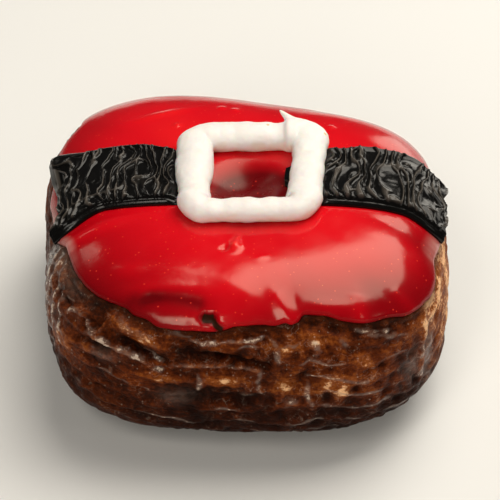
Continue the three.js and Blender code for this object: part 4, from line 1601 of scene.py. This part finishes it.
@dataclass(frozen=True)
class Buckle:
    """The piped ring: one rope that laps over its own start, with the tail that it was pulled off with."""

    along: int = 420
    around: int = 48
    grain: float = 0.22  # size of the faces once rope and tail are one, mm
    x: float = 0.37
    y: float = 0.0
    half_x: float = 12.1
    half_y: float = 13.2
    turn: float = 2.0
    corner: float = 2.9
    splay: float = 0.004
    gap: float = 0.05
    waist: float = 0.4
    near: tuple[float, float] = (2.85, 3.8)
    right: tuple[float, float] = (3.6, 4.4)
    far: tuple[float, float] = (4.05, 4.9)
    left: tuple[float, float] = (3.7, 4.7)
    start_x: float = 9.0  # the rope starts here on the far bar
    lap: float = 3.6
    cap: float = 2.4
    swell: float = 0.1
    tail_at: tuple[float, float] = (8.4, 15.9)
    tail_reach: tuple[float, float, float] = (-1.7, 0.7, 2.1)
    tail_radius: float = 2.3
    tail_tip: float = 0.16
    tail_sink: float = 1.8
    tail_bend: float = 0.6
    dents: tuple[Dent, ...] = (
        Dent(-12.6, -7.4, 1.0, 0.10), Dent(11.2, -10.2, 0.8, 0.08), Dent(-3.5, 13.4, 1.6, 0.05),
        Dent(12.4, 4.5, 1.5, 0.05), Dent(2.0, -13.0, 1.8, 0.04), Dent(-9.5, 13.2, 1.5, -0.05),
        Dent(-12.0, 1.5, 3.5, -0.05), Dent(-10.8, -11.0, 3.4, -0.1), Dent(11.0, -11.0, 3.2, -0.08),
        Dent(-12.0, -5.2, 1.6, 0.09), Dent(11.6, 12.0, 3.0, -0.06),
    )
    bar_steps: int = 24
    corner_steps: int = 16
    tail_rings: int = 14
    smoothings: int = 4
    warm_shade_below: float = 2.6  # height under which painted warm shade falls, mm
    bulges: tuple[float, float] = (0.09, 0.05)
    pits: tuple[float, float] = (0.11, 0.04)
    lap_rise: float = 0.35
    lumps: Noise = Noise(41)

    def middle_line(self) -> Array:
        """The ring's middle line, from the near left corner anticlockwise.

        Returns:
            Rows of distance along, x, y, the way out in x and y, and the bar's half width and height.
        """
        inside_x, inside_y = self.half_x - self.corner, self.half_y - self.corner
        sides = (
            ((-inside_x, -self.half_y), (1, 0), (0, -1), inside_x, self.near, self.right),
            ((self.half_x, -inside_y), (0, 1), (1, 0), inside_y, self.right, self.far),
            ((inside_x, self.half_y), (-1, 0), (0, 1), inside_x, self.far, self.left),
            ((-self.half_x, inside_y), (0, -1), (-1, 0), inside_y, self.left, self.near),
        )
        rows = []
        for start, run, out, half, bar, following in sides:
            begin, ahead, outward = np.array(start), np.array(run), np.array(out)
            for share in np.linspace(0, 1, self.bar_steps, endpoint=False):
                rows.append([*(begin + ahead * 2 * half * share), *outward, *bar])
            pivot = begin + ahead * 2 * half - outward * self.corner
            for share in np.linspace(0, 1, self.corner_steps, endpoint=False):
                angle = share * math.pi / 2
                way = outward * math.cos(angle) + ahead * math.sin(angle)
                size = mixed(np.array(bar), np.array(following), share)
                rows.append([*(pivot + way * self.corner), *way, *size])
        line = np.array(rows + [rows[0]])
        steps = np.hypot(*np.diff(line[:, :2], axis=0).T)
        return np.column_stack([np.concatenate([[0], np.cumsum(steps)]), line])

    def turned(self, x: Array, y: Array) -> tuple[Array, Array]:
        """Places on the buckle's own plan, turned and moved onto the doughnut.

        Args:
            x: places on the buckle's plan, mm.
            y: the same, towards the back.

        Returns:
            The places on the form's plan, mm.
        """
        wide = 1 + self.splay * y
        c, s = math.cos(math.radians(self.turn)), math.sin(math.radians(self.turn))
        return self.x + c * x * wide - s * y, self.y + s * x * wide + c * y

    def rope(self) -> Piece:
        """Makes the rope, which starts on the far bar and ends on top of its own start.

        Returns:
            The piece.
        """
        piece, section, share = ball("buckle_rope", self.around, self.along)
        line = self.middle_line()
        whole = line[-1, 0]
        far_bar = 2 * (self.bar_steps + self.corner_steps)
        start = line[far_bar, 0] + (self.half_x - self.corner - self.start_x)
        length = whole + self.lap
        gone = share * length
        run = (start + gone) % whole
        x, y, out_x, out_y, half_width, height = (np.interp(run, line[:, 0], row) for row in line[:, 1:].T)
        closed = rounded(np.minimum(gone, length - gone) / self.cap)
        place = np.stack([x + out_x * np.cos(section), y + out_y * np.cos(section), np.sin(section)], axis=1)
        slow, quick = self.bulges
        bulge = 1 + slow * self.lumps.at(place + 20, 5.0) + quick * self.lumps.at(place + 50, 2.2)
        bulge *= 1 - sum(
            dent.depth * hump(np.hypot(x - dent.x, y - dent.y) / dent.wide) for dent in self.dents
        )
        lapping = ease((gone - (length - self.lap - 2.5)) / 3.0)
        bulge *= (1 + self.swell * lapping) * closed
        side = half_width * bulge * np.cos(section)
        up = height * bulge * (self.waist + (1 - self.waist) * np.sin(section))
        up += self.lap_rise * lapping * np.sin(section)
        plan_x, plan_y = self.turned(x + out_x * side, y + out_y * side)
        write_points(piece, CROWN.over_top(plan_x, plan_y, self.gap + np.maximum(up, 0)))
        return piece

    def tail(self) -> Piece:
        """Makes the tail where the piping ended.

        Returns:
            The piece.
        """
        reach = Vector(self.tail_reach)
        length = reach.length + self.tail_sink
        shape = bmesh.new()
        bmesh.ops.create_cone(
            shape, cap_ends=True, segments=24, radius1=self.tail_radius, radius2=self.tail_tip, depth=length,
        )
        sides = [edge for edge in shape.edges if abs(edge.verts[0].co.z - edge.verts[1].co.z) > length / 2]
        bmesh.ops.subdivide_edges(shape, edges=sides, cuts=self.tail_rings, use_grid_fill=True)
        for vertex in shape.verts:
            share = vertex.co.z / length + 0.5
            pinch = 1 - 0.3 * math.sin(math.pi * share)
            vertex.co.x = vertex.co.x * pinch - self.tail_bend * share**2
            vertex.co.y *= pinch
        aim = Vector((0, 0, 1)).rotation_difference(reach.normalized()).to_matrix()
        bmesh.ops.translate(shape, verts=shape.verts[:], vec=(0, 0, length / 2))
        bmesh.ops.rotate(shape, verts=shape.verts[:], cent=(0, 0, 0), matrix=aim)
        piece = object_of("buckle_tail", shape)
        x, y = self.turned(np.array([self.tail_at[0]]), np.array([self.tail_at[1]]))
        root = CROWN.over_top(x, y, np.array([self.far[1] - self.tail_sink]))
        write_points(piece, read_points(piece) + root)
        return piece

    def build(self) -> Piece:
        """Makes rope and tail one skin, and rounds it off a little.

        Returns:
            The piece.
        """
        shape = bmesh.new()
        for part in (self.rope(), self.tail()):
            shape.from_mesh(part.data)
            bpy.data.objects.remove(part)
        piece = object_of("buckle_ring", shape)
        joined = piece.modifiers.new("one_skin", "REMESH")
        joined.mode, joined.voxel_size = "VOXEL", self.grain * MM
        whole = bpy.data.meshes.new_from_object(piece.evaluated_get(bpy.context.evaluated_depsgraph_get()))
        piece.modifiers.clear()
        piece.data = whole
        shape = bmesh.new()
        shape.from_mesh(whole)
        for _ in range(self.smoothings):
            bmesh.ops.smooth_vert(
                shape, verts=shape.verts[:], factor=0.5, use_axis_x=True, use_axis_y=True, use_axis_z=True,
            )
        shape.normal_update()
        flat = np.array([vertex.co[:] for vertex in shape.verts])
        normals = np.array([vertex.normal[:] for vertex in shape.verts])
        shape.free()
        points = flat / MM - SHIFT
        wide, small = self.pits
        rough = wide * self.lumps.rough(points + 80, 2.6, 2) + small * self.lumps.at(points + 120, 0.8)
        write_points(piece, points + normals * rough[:, None])
        whole.shade_smooth()
        above = points[:, 2] - CROWN.over_top(points[:, 0], points[:, 1], np.zeros(len(points)))[:, 2]
        # Painted warm shade, most by the icing and in the dents
        write_mark(piece, "warm_shade", 1.0 - above / self.warm_shade_below - 4 * rough)
        return piece


@dataclass(frozen=True)
class Softbox:
    """A rectangular light that faces the doughnut."""

    name: str
    place: tuple[float, float, float]  # where its middle hangs, metres
    size: tuple[float, float]  # metres
    glow: float  # how bright its face looks
    glints: bool = True  # whether glossy surfaces mirror it
    turn: float = 0.0  # how far it is rolled about the line to the doughnut, degrees

    def hang(self, tint: tuple[float, float, float]) -> None:
        """Hangs the light in its place.

        Args:
            tint: the light's colour.
        """
        data = bpy.data.lights.new(self.name, "AREA")
        data.color = tint
        data.shape, data.size, data.size_y = "RECTANGLE", *self.size
        data.energy = self.glow * math.pi * self.size[0] * self.size[1]
        light = bpy.data.objects.new(self.name, data)
        light.location, light.visible_glossy = self.place, self.glints
        away = Vector(self.place).normalized()
        level = Vector((0, 1, 0)).cross(away).normalized()
        across = Matrix.Rotation(math.radians(self.turn), 3, away) @ level
        light.rotation_mode = "QUATERNION"
        light.rotation_quaternion = Matrix((across, away.cross(across), away)).transposed().to_quaternion()
        bpy.context.scene.collection.objects.link(light)


@dataclass(frozen=True)
class Studio:
    """Floor, soft lights and camera."""

    azimuth: float = math.degrees(0.07)
    elevation: float = 38.0
    distance: float = 0.5
    lens: float = 162.0
    aim: tuple[float, float, float] = (0.0021, -0.00047, 0.020)
    aim_up: float = 0.00222
    aim_right: float = 0.0001
    floor_size: float = 6.0
    floor_colour: Colour = (0.8, 0.8, 0.8, 1)
    floor_roughness: float = 0.9
    sky: Colour = (0.95, 0.97, 1.0, 1)
    sky_glow: float = 0.05
    tint: tuple[float, float, float] = (1.0, 0.94, 0.83)
    lights: tuple[Softbox, ...] = (
        Softbox("softbox_right", (0.200, 0.250, 0.646), (0.60, 0.52), 5.0, turn=25),
        Softbox("softbox_fill", (0.36, 0.25, 0.56), (0.6, 0.5), 1.0, glints=False),
        Softbox("softbox_back", (0.40, 0.95, 0.11), (0.64, 0.34), 2.6),
        Softbox("softbox_side", (0.44, -0.32, 0.44), (0.13, 0.09), 3.0),
        Softbox("softbox_left", (-0.382, 0.376, 0.40), (0.08, 0.05), 2.6),
        Softbox("softbox_high", (-0.150, -0.392, 0.56), (0.15, 0.26), 6.0),
        Softbox("softbox_front", (-0.2, -1.1, 0.55), (1.0, 0.6), 3.0, glints=False),
    )

    def camera(self) -> None:
        """Stands the camera where the photograph was taken from."""
        azimuth, elevation = math.radians(self.azimuth), math.radians(self.elevation)
        level = math.cos(elevation)
        back = Vector((math.sin(azimuth) * level, -math.cos(azimuth) * level, math.sin(elevation)))
        right = Vector((math.cos(azimuth), math.sin(azimuth), 0))
        target = Vector(self.aim) + back.cross(right) * self.aim_up + right * self.aim_right
        data = bpy.data.cameras.new("camera")
        data.lens, data.sensor_width = self.lens, 36.0
        data.clip_start, data.clip_end = 0.01, 20.0
        camera = bpy.data.objects.new("camera", data)
        camera.location = target + back * self.distance
        camera.rotation_mode = "QUATERNION"
        camera.rotation_quaternion = (-back).to_track_quat("-Z", "Y")
        bpy.context.scene.collection.objects.link(camera)
        bpy.context.scene.camera = camera

    def floor(self) -> None:
        """Lays the pale floor."""
        shape = bmesh.new()
        bmesh.ops.create_grid(shape, x_segments=1, y_segments=1, size=self.floor_size / 2)
        piece = object_of("floor", shape)
        material = bpy.data.materials.new("floor_paper")
        material.use_nodes = True
        shader = material.node_tree.nodes["Principled BSDF"]
        shader.inputs["Base Color"].default_value = self.floor_colour
        shader.inputs["Roughness"].default_value = self.floor_roughness
        piece.data.materials.append(material)

    def build(self) -> None:
        """Sets up the whole studio."""
        self.camera()
        self.floor()
        for light in self.lights:
            light.hang(self.tint)
        world = bpy.data.worlds.new("studio")
        world.use_nodes = True
        backdrop = world.node_tree.nodes["Background"]
        backdrop.inputs[0].default_value = self.sky
        backdrop.inputs[1].default_value = self.sky_glow
        bpy.context.scene.world = world
        bpy.context.scene.view_settings.view_transform = "Standard"


def main() -> None:
    """Builds the doughnut piece by piece, and the studio round it."""
    logging.basicConfig(level=logging.INFO, format="%(name)s: %(message)s")
    Studio().build()
    effects = Effects()
    dress(Pastry().build(), Crust().build(effects), "crust", "pastry")
    dress(Icing().build(), RedIcing().build(effects), "red_icing", "icing")
    black = BlackPiping().build(effects)
    for side in Side:
        dress(BeltLength(side).build(), black, "black_piping", f"belt_{side.value}")
    dress(Buckle().build(), WhitePiping().build(effects), "white_piping", "buckle")


if __name__ == "__main__":
    main()
